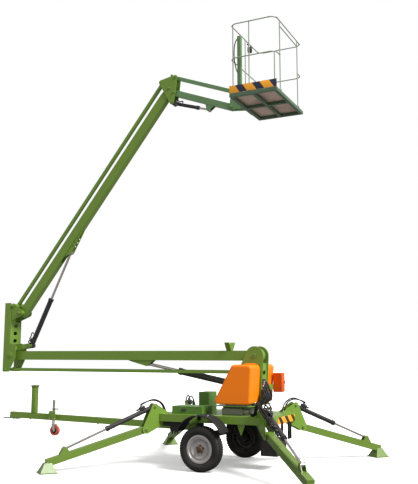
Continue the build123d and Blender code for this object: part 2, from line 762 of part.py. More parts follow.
cheek_base = TRAY_Z + TRAY_T + SEAT
boom_pivot = at(BOOM_PIVOT)
tie_pivot = at(BOOM_PIVOT, TIE_OFFSET)
lift_base = at(LIFT_BASE)
with BuildPart() as turret:
    for y in pair(CHEEK_Y, CHEEK_T):
        with BuildSketch(side(y)):
            disc(boom_pivot, HEAD_R)
            with Locations(at(((CHEEK_X[0] + CHEEK_X[1]) / 2, cheek_base + CHEEK_T))):
                Rectangle(CHEEK_X[1] - CHEEK_X[0], 2 * CHEEK_T)
            make_hull()
        extrude(amount=-CHEEK_T)
    with BuildSketch(Plane(origin=(AXLE_X + WEB_X, 0, 0), x_dir=(0, 1, 0), z_dir=(1, 0, 0))):
        with Locations((0, (cheek_base + WEB_TOP) / 2)):
            Rectangle(2 * (CHEEK_Y + CHEEK_T + WEB_LIP), WEB_TOP - cheek_base)
        for z in WEB_HOLES_Z:
            with Locations((0, z)):
                SlotOverall(WEB_HOLE_L, WEB_HOLE_W, mode=Mode.SUBTRACT)
    extrude(amount=-WEB_T)
    with BuildSketch(side()):
        disc(boom_pivot, PIVOT_R)
        disc(tie_pivot, TIE_PIN_R)
        disc(lift_base, LIFT_PIN_R)
    extrude(amount=CHEEK_Y + CHEEK_T + PIN_HEAD, both=True)
    with BuildSketch(Plane(origin=(AXLE_X + WEB_X, 0, 0), x_dir=(0, 1, 0), z_dir=(1, 0, 0))):
        with Locations((BOX_Y[1] / 2, BOX_Z[0] + BOX_ARM_H)):
            Rectangle(BOX_Y[1], BOX_ARM_H)
    extrude(amount=BOX_ARM_T)
    for sign in SIDES.values():
        for x in (HINGE_X[0], HINGE_X[2]):
            with BuildSketch(Plane(origin=(AXLE_X + x, 0, 0), x_dir=(0, 1, 0), z_dir=(1, 0, 0))):
                with Locations((sign * HINGE_Y, HINGE_Z)):
                    Circle(HINGE_R)
                with Locations((sign * (HINGE_Y + CHEEK_Y) / 2, HINGE_Z)):
                    Rectangle(HINGE_Y - CHEEK_Y, HINGE_R)
            extrude(amount=HINGE_KNUCKLE)
        with BuildSketch(Plane(origin=(AXLE_X + HINGE_X[0], 0, 0), x_dir=(0, 1, 0), z_dir=(1, 0, 0))):
            disc((sign * HINGE_Y, HINGE_Z), HINGE_PIN_R)
        extrude(amount=HINGE_X[2] - HINGE_X[0])
save(turret.part, "turret")

with BuildPart() as control_box:
    with BuildSketch(Plane(origin=(AXLE_X + WEB_X + BOX_ARM_T + SEAT, 0, 0), x_dir=(0, 1, 0), z_dir=(1, 0, 0))):
        with Locations(((BOX_Y[0] + BOX_Y[1]) / 2, (BOX_Z[0] + BOX_Z[1]) / 2)):
            RectangleRounded(BOX_Y[1] - BOX_Y[0], BOX_Z[1] - BOX_Z[0], BOX_CORNER)
    extrude(amount=BOX_DEPTH)
save(control_box.part, "control_box")



def hood_block(outline, sign, inner_y, outer_y, top_r, edge_r):
    """A hood's outer or inner form: its side outline carried outward, with its outer edges rounded."""
    with BuildPart() as block:
        with BuildSketch(side(sign * inner_y)):
            with BuildLine():
                Polyline([at(p) for p in outline], close=True)
            make_face()
            fillet(vertices().group_by(Axis.Z)[-1], top_r)
        extrude(amount=-sign * (outer_y - inner_y))
        outer = faces().sort_by(Axis.Y)[-1 if sign > 0 else 0]
        fillet(outer.edges().filter_by(lambda e: e.center().Z > outline[0][1] + 1), edge_r)
    return block.part


hood_lining = [
    (HOOD_OUTLINE[0][0] + HOOD_T, HOOD_OUTLINE[0][1] - HOOD_T),
    (HOOD_OUTLINE[1][0] - HOOD_T, HOOD_OUTLINE[1][1] - HOOD_T),
    (HOOD_OUTLINE[2][0] - HOOD_T, HOOD_OUTLINE[2][1] - HOOD_T),
    (HOOD_OUTLINE[3][0] + HOOD_T, HOOD_OUTLINE[3][1] - HOOD_T),
]
for name, sign in SIDES.items():
    block = {"near": "power_unit", "far": "hydraulic_tank"}[name]
    with BuildPart() as unit:
        with BuildSketch(Plane.XY.offset(cheek_base)):
            with Locations((AXLE_X + UNIT_X, sign * (HOOD_Y[0] + HOOD_Y[1]) / 2)):
                RectangleRounded(UNIT_L, HOOD_Y[1] - HOOD_Y[0] - 2 * UNIT_GAP, UNIT_CORNER)
        extrude(amount=UNIT_H)
    save(unit.part, block)
    shell = hood_block(HOOD_OUTLINE, sign, HOOD_Y[0], HOOD_Y[1], HOOD_TOP_R, HOOD_EDGE_R)
    hollow = hood_block(
        hood_lining, sign, HOOD_Y[0] - HOOD_T, HOOD_Y[1] - HOOD_T, HOOD_TOP_R - HOOD_T, HOOD_EDGE_R - HOOD_T
    )
    with BuildPart() as hood:
        add(shell)
        add(hollow, mode=Mode.SUBTRACT)
        with BuildSketch(Plane(origin=(AXLE_X + HINGE_X[1], 0, 0), x_dir=(0, 1, 0), z_dir=(1, 0, 0))):
            with Locations((sign * HINGE_Y, HINGE_Z)):
                Circle(HINGE_R)
            with Locations((sign * (HOOD_Y[0] + HINGE_LEAF / 2), (HINGE_Z + HOOD_OUTLINE[2][1]) / 2)):
                Rectangle(HINGE_LEAF, HINGE_Z - HOOD_OUTLINE[2][1])
            with Locations((sign * HINGE_Y, HINGE_Z)):
                Circle(HINGE_PIN_R + PIN_FIT, mode=Mode.SUBTRACT)
        extrude(amount=HINGE_KNUCKLE_MID)
    save(hood.part, f"hood_{name}")

# --- Boxes on the deck and under its rear
with BuildPart() as toolbox:
    with BuildSketch(Plane.XY.offset(DECK_TOP + SEAT)):
        with Locations((AXLE_X + sum(TOOLBOX_X) / 2, sum(TOOLBOX_Y) / 2)):
            RectangleRounded(TOOLBOX_X[1] - TOOLBOX_X[0], TOOLBOX_Y[1] - TOOLBOX_Y[0], BOX_CORNER)
    extrude(amount=TOOLBOX_H)
    offset(amount=-BOX_WALL, openings=faces().sort_by(Axis.Z)[-1])
save(toolbox.part, "toolbox")
lid_z = DECK_TOP + 2 * SEAT + TOOLBOX_H
with BuildPart() as toolbox_lid:
    with BuildSketch(Plane.XY.offset(lid_z)):
        with Locations((AXLE_X + sum(TOOLBOX_X) / 2, sum(TOOLBOX_Y) / 2)):
            RectangleRounded(TOOLBOX_X[1] - TOOLBOX_X[0], TOOLBOX_Y[1] - TOOLBOX_Y[0], BOX_CORNER)
    extrude(amount=LID_T)
    for x in TOOLBOX_X:
        knuckle_x = AXLE_X + x + math.copysign(LID_KNUCKLE_IN, sum(TOOLBOX_X) / 2 - x)
        with BuildSketch(Plane(origin=(knuckle_x, TOOLBOX_Y[1], lid_z + LID_T), x_dir=(0, 1, 0), z_dir=(1, 0, 0))):
            Circle(LID_KNUCKLE_R)
        extrude(amount=LID_KNUCKLE_L / 2, both=True)
save(toolbox_lid.part, "toolbox_lid")
with BuildPart() as tall_box:
    with BuildSketch(Plane.XY.offset(DECK_TOP + SEAT)):
        with Locations((AXLE_X + sum(TALL_BOX_X) / 2, sum(TALL_BOX_Y) / 2)):
            RectangleRounded(TALL_BOX_X[1] - TALL_BOX_X[0], TALL_BOX_Y[1] - TALL_BOX_Y[0], BOX_CORNER)
    extrude(amount=TALL_BOX_H)
save(tall_box.part, "tall_box")
with BuildPart() as underslung_box:
    with BuildSketch(Plane.XY.offset(UNDER_BOX_Z)):
        with Locations((AXLE_X + sum(UNDER_BOX_X) / 2, sum(UNDER_BOX_Y) / 2)):
            RectangleRounded(UNDER_BOX_X[1] - UNDER_BOX_X[0], UNDER_BOX_Y[1] - UNDER_BOX_Y[0], BOX_CORNER)
    extrude(amount=UNDER_BOX_H)
    for y in UNDER_BOX_Y:
        with BuildSketch(Plane.XY.offset(UNDER_BOX_Z + UNDER_BOX_H)):
            with Locations((AXLE_X + DECK_X[1] - RAIL_W / 2, y * 0.8)):
                Rectangle(HANGER_T, HANGER_T)
        extrude(amount=deck_bottom - SEAT - UNDER_BOX_Z - UNDER_BOX_H)
save(underslung_box.part, "underslung_box")

# --- Lower parallelogram
mast_pivot = (boom_pivot[0] - LOWER_LENGTH, boom_pivot[1])
mast_tie = (mast_pivot[0] + TIE_OFFSET[0], mast_pivot[1] + TIE_OFFSET[1])
lift_lug = at(LIFT_LUG)
with BuildPart() as lower_boom:
    with BuildSketch(side()):
        disc(boom_pivot, BOOM_ROOT_R)
        disc(mast_pivot, BOOM_H / 2)
        bar(boom_pivot, mast_pivot, BOOM_H)
    extrude(amount=BOOM_W / 2, both=True)
    with BuildSketch(side()):
        disc(boom_pivot, PIVOT_R + BOSS_WALL)
    extrude(amount=CHEEK_Y - END_GAP, both=True)
    with BuildSketch(side()):
        disc(mast_pivot, MAST_PIN_R + BOSS_WALL)
    extrude(amount=MAST_Y - END_GAP, both=True)
    for y in lug_faces(LIFT_PIN_R):
        with BuildSketch(side(y)):
            disc(lift_lug, LIFT_PIN_R + LUG_WALL)
            with Locations((lift_lug[0], boom_pivot[1])):
                Rectangle(4 * LUG_ROOT, BOOM_H / 2)
            make_hull()
        extrude(amount=-LUG_T)
    for sign in SIDES.values():
        with BuildSketch(Plane(origin=(AXLE_X + SADDLE_X, 0, 0), x_dir=(0, 1, 0), z_dir=(1, 0, 0))):
            foot_z = boom_pivot[1] + BOOM_H / 2 - SADDLE_T
            strip((sign * SADDLE_ROOT, foot_z), (sign * SADDLE_HALF, foot_z + SADDLE_H), SADDLE_T)
        extrude(amount=SADDLE_L / 2, both=True)
    with BuildSketch(side()):
        disc(boom_pivot, PIVOT_R + PIN_FIT)
        disc(mast_pivot, MAST_PIN_R + PIN_FIT)
    extrude(amount=2 * MAST_Y, both=True, mode=Mode.SUBTRACT)
save(lower_boom.part, "lower_boom")

with BuildPart() as lower_tie:
    for y in pair(TIE_Y[0], TIE_Y[1] - TIE_Y[0]):
        with BuildSketch(side(y)):
            strip(tie_pivot, mast_tie, TIE_H)
            for p in (tie_pivot, mast_tie):
                with Locations(p):
                    Circle(TIE_PIN_R + BOSS_WALL)
                    Circle(TIE_PIN_R + PIN_FIT, mode=Mode.SUBTRACT)
        extrude(amount=-(TIE_Y[1] - TIE_Y[0]))
save(lower_tie.part, "lower_tie")
save(
    barrel(side(), lift_base, lift_lug, LIFT_BARREL_R, LIFT_BARREL_L, LIFT_ROD_R, LIFT_PIN_R),
    "lift_barrel",
)
save(rod(side(), lift_base, lift_lug, LIFT_ROD_R, LIFT_ROD_L, LIFT_PIN_R), "lift_rod")

# --- Mast
upper_pivot = at(UPPER_PIVOT)
upper_tie_foot = at(UPPER_PIVOT, UPPER_TIE_OFFSET)
upper_base = at(UPPER_BASE)
with BuildPart() as mast:
    for y in pair(MAST_Y, MAST_T):
        with BuildSketch(side(y)):
            with BuildLine():
                Polyline([at(p) for p in MAST_OUTLINE], close=True)
            make_face()
            fillet(vertices(), MAST_CORNER)
            disc(upper_pivot, MAST_EYE_R)
            disc(mast_pivot, MAST_EYE_R)
        extrude(amount=-MAST_T)
    for x, low, high in MAST_WEBS:
        with BuildSketch(Plane(origin=(AXLE_X + x, 0, 0), x_dir=(0, 1, 0), z_dir=(1, 0, 0))):
            with Locations((0, (low + high) / 2)):
                Rectangle(2 * MAST_Y + MAST_T, high - low)
                with GridLocations(0, (high - low) / 3, 1, 3):
                    SlotOverall(MAST_HOLE_L, MAST_HOLE_W, mode=Mode.SUBTRACT)
        extrude(amount=MAST_T)
    for y in pair(UPPER_BARREL_R + RUN_GAP, MAST_T):
        with BuildSketch(side(y)):
            disc(upper_base, EAR_R)
            with Locations(at((MAST_WEBS[0][0] + MAST_T / 2, EAR_ROOT_Z))):
                Rectangle(MAST_T, EAR_ROOT_H)
            make_hull()
        extrude(amount=-MAST_T)
    with BuildSketch(side()):
        disc(mast_pivot, MAST_PIN_R)
        disc(mast_tie, TIE_PIN_R)
        disc(upper_pivot, MAST_PIN_R)
        disc(upper_tie_foot, TIE_PIN_R)
    extrude(amount=MAST_Y + MAST_T + PIN_HEAD, both=True)
    with BuildSketch(side()):
        disc(upper_base, UPPER_PIN_R)
    extrude(amount=UPPER_BARREL_R + RUN_GAP + MAST_T + PIN_HEAD, both=True)
save(mast.part, "mast")

# --- Upper parallelogram
head_pivot = along(upper_pivot, UPPER_ANGLE, UPPER_LENGTH)
head_tie = along(upper_tie_foot, UPPER_ANGLE, UPPER_LENGTH)
upper_lug = along(upper_pivot, UPPER_ANGLE, UPPER_LUG_S, UPPER_LUG_DROP)
with BuildPart() as upper_boom:
    with BuildSketch(side()):
        disc(upper_pivot, BOOM_H / 2)
        taper_s = UPPER_LENGTH - BOOM_TAPER
        bar(upper_pivot, along(upper_pivot, UPPER_ANGLE, taper_s), BOOM_H)
        disc(head_pivot, BOOM_END_R)
        with BuildLine():
            Polyline(
                along(upper_pivot, UPPER_ANGLE, taper_s, BOOM_H / 2),
                along(upper_pivot, UPPER_ANGLE, UPPER_LENGTH, BOOM_END_R),
                along(upper_pivot, UPPER_ANGLE, UPPER_LENGTH, -BOOM_END_R),
                along(upper_pivot, UPPER_ANGLE, taper_s, -BOOM_H / 2),
                close=True,
            )
        make_face()
    extrude(amount=BOOM_W / 2, both=True)
    with BuildSketch(side()):
        disc(upper_pivot, MAST_PIN_R + BOSS_WALL)
    extrude(amount=MAST_Y - END_GAP, both=True)
    for y in lug_faces(UPPER_PIN_R):
        with BuildSketch(side(y)):
            disc(upper_lug, UPPER_PIN_R + LUG_WALL)
            bar(
                along(upper_pivot, UPPER_ANGLE, UPPER_LUG_S - 2 * LUG_ROOT, BOOM_H / 4),
                along(upper_pivot, UPPER_ANGLE, UPPER_LUG_S + 2 * LUG_ROOT, BOOM_H / 4),
                BOOM_H / 4,
            )
            make_hull()
        extrude(amount=-LUG_T)
    with BuildSketch(side()):
        pocket(upper_pivot, UPPER_ANGLE, UPPER_LUG_S, UPPER_POCKET, BOOM_H)
    extrude(amount=eye_half(UPPER_PIN_R) + EYE_GAP, both=True, mode=Mode.SUBTRACT)
    with BuildSketch(side()):
        disc(upper_pivot, MAST_PIN_R + PIN_FIT)
        disc(head_pivot, HEAD_PIN_R + PIN_FIT)
    extrude(amount=2 * MAST_Y, both=True, mode=Mode.SUBTRACT)
save(upper_boom.part, "upper_boom")

with BuildPart() as upper_tie:
    with BuildSketch(side()):
        strip(upper_tie_foot, head_tie, UPPER_TIE_W)
    extrude(amount=UPPER_TIE_W / 2, both=True)
    with BuildSketch(side()):
        disc(upper_tie_foot, TIE_PIN_R + BOSS_WALL)
    extrude(amount=MAST_Y - END_GAP, both=True)
    with BuildSketch(side()):
        disc(head_tie, HEAD_PIN_R + BOSS_WALL)
    extrude(amount=HEAD_Y - END_GAP, both=True)
    with BuildSketch(side()):
        disc(upper_tie_foot, TIE_PIN_R + PIN_FIT)
        disc(head_tie, HEAD_PIN_R + PIN_FIT)
    extrude(amount=2 * MAST_Y, both=True, mode=Mode.SUBTRACT)
save(upper_tie.part, "upper_tie")
save(
    barrel(side(), upper_base, upper_lug, UPPER_BARREL_R, UPPER_BARREL_L, UPPER_ROD_R, UPPER_PIN_R),
    "upper_barrel",
)
save(rod(side(), upper_base, upper_lug, UPPER_ROD_R, UPPER_ROD_L, UPPER_PIN_R), "upper_rod")

# --- Head, jib and jib cylinder
jib_pivot = (head_pivot[0] + JIB_FROM_HEAD[0], head_pivot[1] + JIB_FROM_HEAD[1])
jib_tie_pivot = (jib_pivot[0] + JIB_TIE_OFFSET[0], jib_pivot[1] + JIB_TIE_OFFSET[1])
jib_base = (head_pivot[0] + JIB_BASE_FROM_HEAD[0], head_pivot[1] + JIB_BASE_FROM_HEAD[1])
head_points = (head_pivot, head_tie, jib_pivot, jib_tie_pivot, jib_base)
with BuildPart() as boom_head:
    for y in pair(HEAD_Y, HEAD_T):
        with BuildSketch(side(y)):
            for p in head_points:
                disc(p, HEAD_PIN_R + LUG_WALL)
            make_hull()
        extrude(amount=-HEAD_T)
    with BuildSketch(side()):
        for p in (head_pivot, head_tie, jib_pivot, jib_tie_pivot):
            disc(p, HEAD_PIN_R)
        disc(jib_base, JIB_PIN_R)
    extrude(amount=HEAD_Y + HEAD_T + PIN_HEAD, both=True)
save(boom_head.part, "boom_head")

cage_pivot = along(jib_pivot, JIB_ANGLE, JIB_LENGTH)
cage_tie = (cage_pivot[0] + JIB_TIE_OFFSET[0], cage_pivot[1] + JIB_TIE_OFFSET[1])
jib_lug = along(jib_pivot, JIB_ANGLE, JIB_LUG_S, JIB_LUG_DROP)
with BuildPart() as jib:
    with BuildSketch(side()):
        disc(jib_pivot, JIB_ROOT_R)
        disc(cage_pivot, JIB_ROOT_R)
        bar(along(jib_pivot, JIB_ANGLE, JIB_ROOT_R), cage_pivot, JIB_H)
        bar(jib_pivot, along(jib_pivot, JIB_ANGLE, JIB_ROOT_R), 2 * JIB_ROOT_R)
    extrude(amount=JIB_W / 2, both=True)
    for y in lug_faces(JIB_PIN_R):
        with BuildSketch(side(y)):
            disc(jib_lug, JIB_PIN_R + LUG_WALL)
            bar(
                along(jib_pivot, JIB_ANGLE, JIB_LUG_S - LUG_ROOT, JIB_H / 4),
                along(jib_pivot, JIB_ANGLE, JIB_LUG_S + LUG_ROOT, JIB_H / 4),
                JIB_H / 4,
            )
            make_hull()
        extrude(amount=-LUG_T)
    with BuildSketch(side()):
        pocket(jib_pivot, JIB_ANGLE, JIB_LUG_S, JIB_POCKET, JIB_H)
    extrude(amount=eye_half(JIB_PIN_R) + EYE_GAP, both=True, mode=Mode.SUBTRACT)
    with BuildSketch(side()):
        disc(jib_pivot, HEAD_PIN_R + PIN_FIT)
        disc(cage_pivot, HEAD_PIN_R + PIN_FIT)
    extrude(amount=JIB_W, both=True, mode=Mode.SUBTRACT)
save(jib.part, "jib")

with BuildPart() as jib_tie:
    with BuildSketch(side()):
        strip(jib_tie_pivot, cage_tie, JIB_TIE_H)
        for p in (jib_tie_pivot, cage_tie):
            with Locations(p):
                Circle(HEAD_PIN_R + PIN_FIT, mode=Mode.SUBTRACT)
    extrude(amount=JIB_TIE_W / 2, both=True)
save(jib_tie.part, "jib_tie")
save(
    barrel(side(), jib_base, jib_lug, JIB_BARREL_R, JIB_BARREL_L, JIB_ROD_R, JIB_PIN_R),
    "jib_barrel",
)
save(rod(side(), jib_base, jib_lug, JIB_ROD_R, JIB_ROD_L, JIB_PIN_R), "jib_rod")

# --- Platform
cage_x = cage_pivot[0] + CAGE_GAP
cage_z = cage_pivot[1] - CAGE_DROP
cage_mid = cage_x + CAGE_DEPTH / 2
with BuildPart() as carrier:
    for y in pair(JIB_W / 2 + RUN_GAP, HEAD_T):
        with BuildSketch(side(y)):
            disc(cage_pivot, HEAD_PIN_R + LUG_WALL)
            disc(cage_tie, HEAD_PIN_R + LUG_WALL)
            with Locations((cage_x - SEAT - HEAD_T / 2, cage_z + CAGE_TUBE / 2)):
                Rectangle(HEAD_T, CAGE_TUBE)
            make_hull()
        extrude(amount=-HEAD_T)
    with BuildSketch(side()):
        disc(cage_pivot, HEAD_PIN_R)
        disc(cage_tie, HEAD_PIN_R)
    extrude(amount=JIB_W / 2 + RUN_GAP + HEAD_T + PIN_HEAD, both=True)
    with BuildSketch(side()):
        with Locations((cage_x - SEAT - HEAD_T / 2, cage_z + CAGE_TUBE / 2)):
            Rectangle(HEAD_T, CAGE_TUBE)
    extrude(amount=CARRIER_HALF_Y, both=True)
save(carrier.part, "carrier")

with BuildPart() as platform_frame:
    with BuildSketch(Plane.XY.offset(cage_z)):
        with Locations((cage_mid, 0)):
            Rectangle(CAGE_DEPTH, 2 * CAGE_HALF_Y)
            with GridLocations((CAGE_DEPTH - CAGE_TUBE) / 2, CAGE_HALF_Y - CAGE_TUBE / 2, 2, 2):
                Rectangle(
                    (CAGE_DEPTH - 3 * CAGE_TUBE) / 2,
                    CAGE_HALF_Y - 1.5 * CAGE_TUBE,
                    mode=Mode.SUBTRACT,
                )
    extrude(amount=CAGE_TUBE)
save(platform_frame.part, "platform_frame")

floor_z = cage_z + CAGE_TUBE + SEAT
with BuildPart() as platform_floor:
    with BuildSketch(Plane.XY.offset(floor_z)):
        with Locations((cage_mid, 0)):
            Rectangle(CAGE_DEPTH - 2 * TOE_T, 2 * (CAGE_HALF_Y - TOE_T))
    extrude(amount=FLOOR_T)
save(platform_floor.part, "platform_floor")

with BuildPart() as toe_board:
    with BuildSketch(Plane.XY.offset(floor_z + FLOOR_T)):
        with Locations((cage_mid, 0)):
            Rectangle(CAGE_DEPTH, 2 * CAGE_HALF_Y)
            Rectangle(CAGE_DEPTH - 2 * TOE_T, 2 * (CAGE_HALF_Y - TOE_T), mode=Mode.SUBTRACT)
    extrude(amount=TOE_H)
save(toe_board.part, "toe_board")

rail_x = CAGE_DEPTH / 2 - TOE_T - SEAT - RAIL_R
rail_y = CAGE_HALF_Y - TOE_T - SEAT - RAIL_R
with BuildPart() as guard_rail:
    for z in (floor_z + FLOOR_T + RAIL_HEIGHT / 2, floor_z + FLOOR_T + RAIL_HEIGHT - RAIL_R):
        with BuildLine() as loop:
            FilletPolyline(
                (cage_mid + rail_x, -rail_y, z),
                (cage_mid + rail_x, rail_y, z),
                (cage_mid - rail_x, rail_y, z),
                (cage_mid - rail_x, -rail_y, z),
                radius=RAIL_BEND,
                close=True,
            )
        with BuildSketch(Plane(origin=loop.line @ 0, z_dir=loop.line % 0)):
            Circle(RAIL_R)
        sweep(path=loop.line)
    with BuildSketch(Plane.XY.offset(floor_z + FLOOR_T + SEAT)):
        for x in (-1, 1):
            for y in (-1, 0, 1):
                inset = RAIL_BEND * (1 - math.sqrt(0.5)) * abs(y)
                with Locations((cage_mid + x * (rail_x - inset), y * (rail_y - inset))):
                    Circle(RAIL_R - POST_STEP)
    extrude(amount=RAIL_HEIGHT - RAIL_R - SEAT)
save(guard_rail.part, "guard_rail")

with BuildPart() as control_post:
    with BuildSketch(Plane.XY.offset(floor_z + FLOOR_T + SEAT)):
        with Locations((cage_mid - rail_x + POST_INSET, -rail_y + POST_INSET)):
            RectangleRounded(POST_SECTION, POST_SECTION, POST_SECTION / 10)
    extrude(amount=POST_H)
    with BuildSketch(Plane.XY.offset(floor_z + FLOOR_T + SEAT + POST_H)):
        with Locations((cage_mid - rail_x + POST_INSET + CONSOLE_L / 4, -rail_y + POST_INSET + CONSOLE_L / 4)):
            RectangleRounded(CONSOLE_L, CONSOLE_L, BOX_CORNER)
    extrude(amount=CONSOLE_H)
save(control_post.part, "control_post")
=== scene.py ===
"""Finishes, fittings and hoses of a towed articulating boom lift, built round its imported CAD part."""

import json
import logging
import math
from dataclasses import dataclass
from enum import Enum
from typing import Any, ClassVar, Iterable, NamedTuple, Sequence

import bmesh
import bpy
from mathutils import Matrix, Vector
from mathutils.bvhtree import BVHTree
from mathutils.geometry import convex_hull_2d

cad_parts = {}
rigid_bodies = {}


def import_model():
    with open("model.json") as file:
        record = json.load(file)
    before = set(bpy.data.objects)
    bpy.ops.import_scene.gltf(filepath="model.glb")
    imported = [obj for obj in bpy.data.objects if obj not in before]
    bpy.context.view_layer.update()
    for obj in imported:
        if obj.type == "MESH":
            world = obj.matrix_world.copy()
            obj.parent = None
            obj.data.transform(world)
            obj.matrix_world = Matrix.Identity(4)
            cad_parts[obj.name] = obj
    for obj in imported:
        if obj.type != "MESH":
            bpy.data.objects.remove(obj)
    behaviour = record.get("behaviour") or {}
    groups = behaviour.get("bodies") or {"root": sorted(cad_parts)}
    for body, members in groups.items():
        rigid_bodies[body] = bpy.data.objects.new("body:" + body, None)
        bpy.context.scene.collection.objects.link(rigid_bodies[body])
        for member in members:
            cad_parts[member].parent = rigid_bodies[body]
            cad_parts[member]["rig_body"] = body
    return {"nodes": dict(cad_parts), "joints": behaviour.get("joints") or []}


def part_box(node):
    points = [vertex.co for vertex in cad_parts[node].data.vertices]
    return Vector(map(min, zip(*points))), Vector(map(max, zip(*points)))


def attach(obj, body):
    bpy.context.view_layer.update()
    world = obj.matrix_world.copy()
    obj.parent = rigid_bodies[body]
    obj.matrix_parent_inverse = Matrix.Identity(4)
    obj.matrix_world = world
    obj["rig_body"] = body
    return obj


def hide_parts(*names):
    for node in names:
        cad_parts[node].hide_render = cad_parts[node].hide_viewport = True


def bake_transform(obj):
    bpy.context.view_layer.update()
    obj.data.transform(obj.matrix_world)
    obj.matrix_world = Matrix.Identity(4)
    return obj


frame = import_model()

LOG = logging.getLogger("boom_lift")
Colour = tuple[float, float, float]
Point = tuple[float, float, float]
Pair = tuple[float, float]
Profile = tuple[Pair, ...]
Tree = bpy.types.NodeTree
Node = bpy.types.Node
Plug = bpy.types.NodeSocket
Piece = bpy.types.Object

UP = Vector((0.0, 0.0, 1.0))
ACROSS = Vector((0.0, 1.0, 0.0))
ALONG = Vector((1.0, 0.0, 0.0))
# Planes for plates: one stands along the machine, the other across it
UPRIGHT = Matrix(((1.0, 0.0, 0.0, 0.0), (0.0, 0.0, -1.0, 0.0), (0.0, 1.0, 0.0, 0.0), (0.0, 0.0, 0.0, 1.0)))
FACING = Matrix(((0.0, 0.0, 1.0, 0.0), (1.0, 0.0, 0.0, 0.0), (0.0, 1.0, 0.0, 0.0), (0.0, 0.0, 0.0, 1.0)))
CORNERS = ("front_near", "front_far", "rear_near", "rear_far")
SIDES = {"near": -1.0, "far": 1.0}
SIGNS = (-1.0, 1.0)


class Kind(Enum):
    """The ways in which a surface of the machine is finished."""

    PAINT = "sprayed paint"
    METAL = "bare or plated metal"
    RUBBER = "rubber"
    PLASTIC = "moulded plastic"
    BOARD = "plywood board"
    STRIPE = "slanted warning stripes"
    # RIM: its black behind the disc and its dark ring in the well are painted shade
    RIM = "silver paint that darkens to rust at the hub and to black behind the disc"


class Style(Enum):
    """The fasteners that the bolt tree can set, by the sides of their heads."""

    HEX = 6
    ROUND = 20


class Socket(Enum):
    """The kinds of socket that a group or tree can have."""

    NUMBER = "NodeSocketFloat"
    COUNT = "NodeSocketInt"
    VECTOR = "NodeSocketVector"
    COLOUR = "NodeSocketColor"
    MATERIAL = "NodeSocketMaterial"
    GEOMETRY = "NodeSocketGeometry"


@dataclass(frozen=True)
class Finish:
    """One surface finish and the numbers that its material is made from.

    Args:
        name: Material name.
        kind: Which recipe the material follows.
        colour: Main colour.
        second: Worn, shaded or striped colour.
        roughness: Middle roughness.
        metallic: Metallic value.
        coat: Clear coat weight.
        wear: Share of the sharp edges that show the second colour.
        dust: Weight of road dust, most near the ground.
        grain: Fine bump, cells per metre.
        depth: Height of the fine bump, metres.
        lean: How far stripes shift along the board for each unit of height.
        start: Where the stripes start, along the board.
    """

    name: str
    kind: Kind
    colour: Colour
    second: Colour
    roughness: float
    metallic: float = 0.0
    coat: float = 0.0
    wear: float = 0.0
    dust: float = 0.0
    grain: float = 90.0
    depth: float = 0.0003
    lean: float = 0.0
    start: float = 0.0


GREEN = Finish(
    "green_paint", Kind.PAINT, (0.158, 0.28, 0.03), (0.105, 0.19, 0.023), 0.42, coat=0.25, wear=0.25, dust=0.12
)
# Green paint made darker for the outrigger legs: painted shade
SHADED_LEG_GREEN = Finish(
    "leg_green", Kind.PAINT, (0.122, 0.208, 0.024), (0.08, 0.14, 0.018), 0.42, coat=0.2, wear=0.25, dust=0.12
)
# Green paint made darker for the platform frame: painted shade of its underside
SHADED_FRAME_GREEN = Finish(
    "shaded_frame_green", Kind.PAINT, (0.085, 0.15, 0.085), (0.05, 0.09, 0.055), 0.5, coat=0.1, wear=0.2, dust=0.12
)
# Green paint tinted blue for the platform, jib, carrier and post: painted sky light
SKYLIT_PLATFORM_GREEN = Finish(
    "skylit_platform_green", Kind.PAINT, (0.135, 0.265, 0.105), (0.08, 0.16, 0.07), 0.45, coat=0.2, wear=0.25, dust=0.1
)
RAIL_GREEN = Finish(
    "rail_green", Kind.PAINT, (0.3, 0.36, 0.28), (0.2, 0.25, 0.19), 0.5, coat=0.15, wear=0.2, dust=0.1
)
# Green paint made darker for the boxes and the head knob: painted shade
SHADED_BOX_GREEN = Finish(
    "shaded_box_green", Kind.PAINT, (0.085, 0.2, 0.022), (0.05, 0.12, 0.015), 0.45, coat=0.2, wear=0.2, dust=0.12
)
ORANGE = Finish(
    "hood_orange", Kind.PAINT, (1.0, 0.225, 0.0), (0.9, 0.165, 0.0), 0.5,
    coat=0.04, wear=0.04, dust=0.02, grain=40.0,
)
# Orange paint made darker for the control box: painted shade
SHADED_ORANGE = Finish(
    "shaded_box_orange", Kind.PAINT, (0.68, 0.088, 0.0), (0.5, 0.055, 0.0), 0.46, coat=0.1, wear=0.08, dust=0.03
)
BLACK = Finish(
    "black_paint", Kind.PAINT, (0.016, 0.016, 0.018), (0.07, 0.065, 0.06), 0.38, coat=0.3, wear=0.3, dust=0.15
)
ARCH_BLACK = Finish(
    "arch_black", Kind.PAINT, (0.008, 0.008, 0.0085), (0.05, 0.046, 0.04), 0.62, wear=0.3, dust=0.05
)
UNDER_BLACK = Finish(
    "under_black", Kind.PAINT, (0.012, 0.012, 0.012), (0.03, 0.027, 0.024), 0.6, wear=0.25, dust=0.18
)
CHROME = Finish(
    "chrome_rod", Kind.METAL, (0.6, 0.54, 0.53), (0.35, 0.3, 0.28), 0.16,
    metallic=1.0, dust=0.12, grain=400.0, depth=0.00005,
)
ZINC = Finish(
    "zinc", Kind.METAL, (0.62, 0.57, 0.47), (0.42, 0.37, 0.28), 0.36,
    metallic=0.8, dust=0.25, grain=220.0, depth=0.0001,
)
STEEL = Finish(
    "bolt_steel", Kind.METAL, (0.3, 0.3, 0.31), (0.16, 0.15, 0.14), 0.38,
    metallic=0.9, dust=0.25, grain=260.0, depth=0.0001,
)
BRASS = Finish(
    "brass", Kind.METAL, (0.75, 0.52, 0.22), (0.45, 0.3, 0.12), 0.3,
    metallic=1.0, dust=0.2, grain=220.0, depth=0.0001,
)
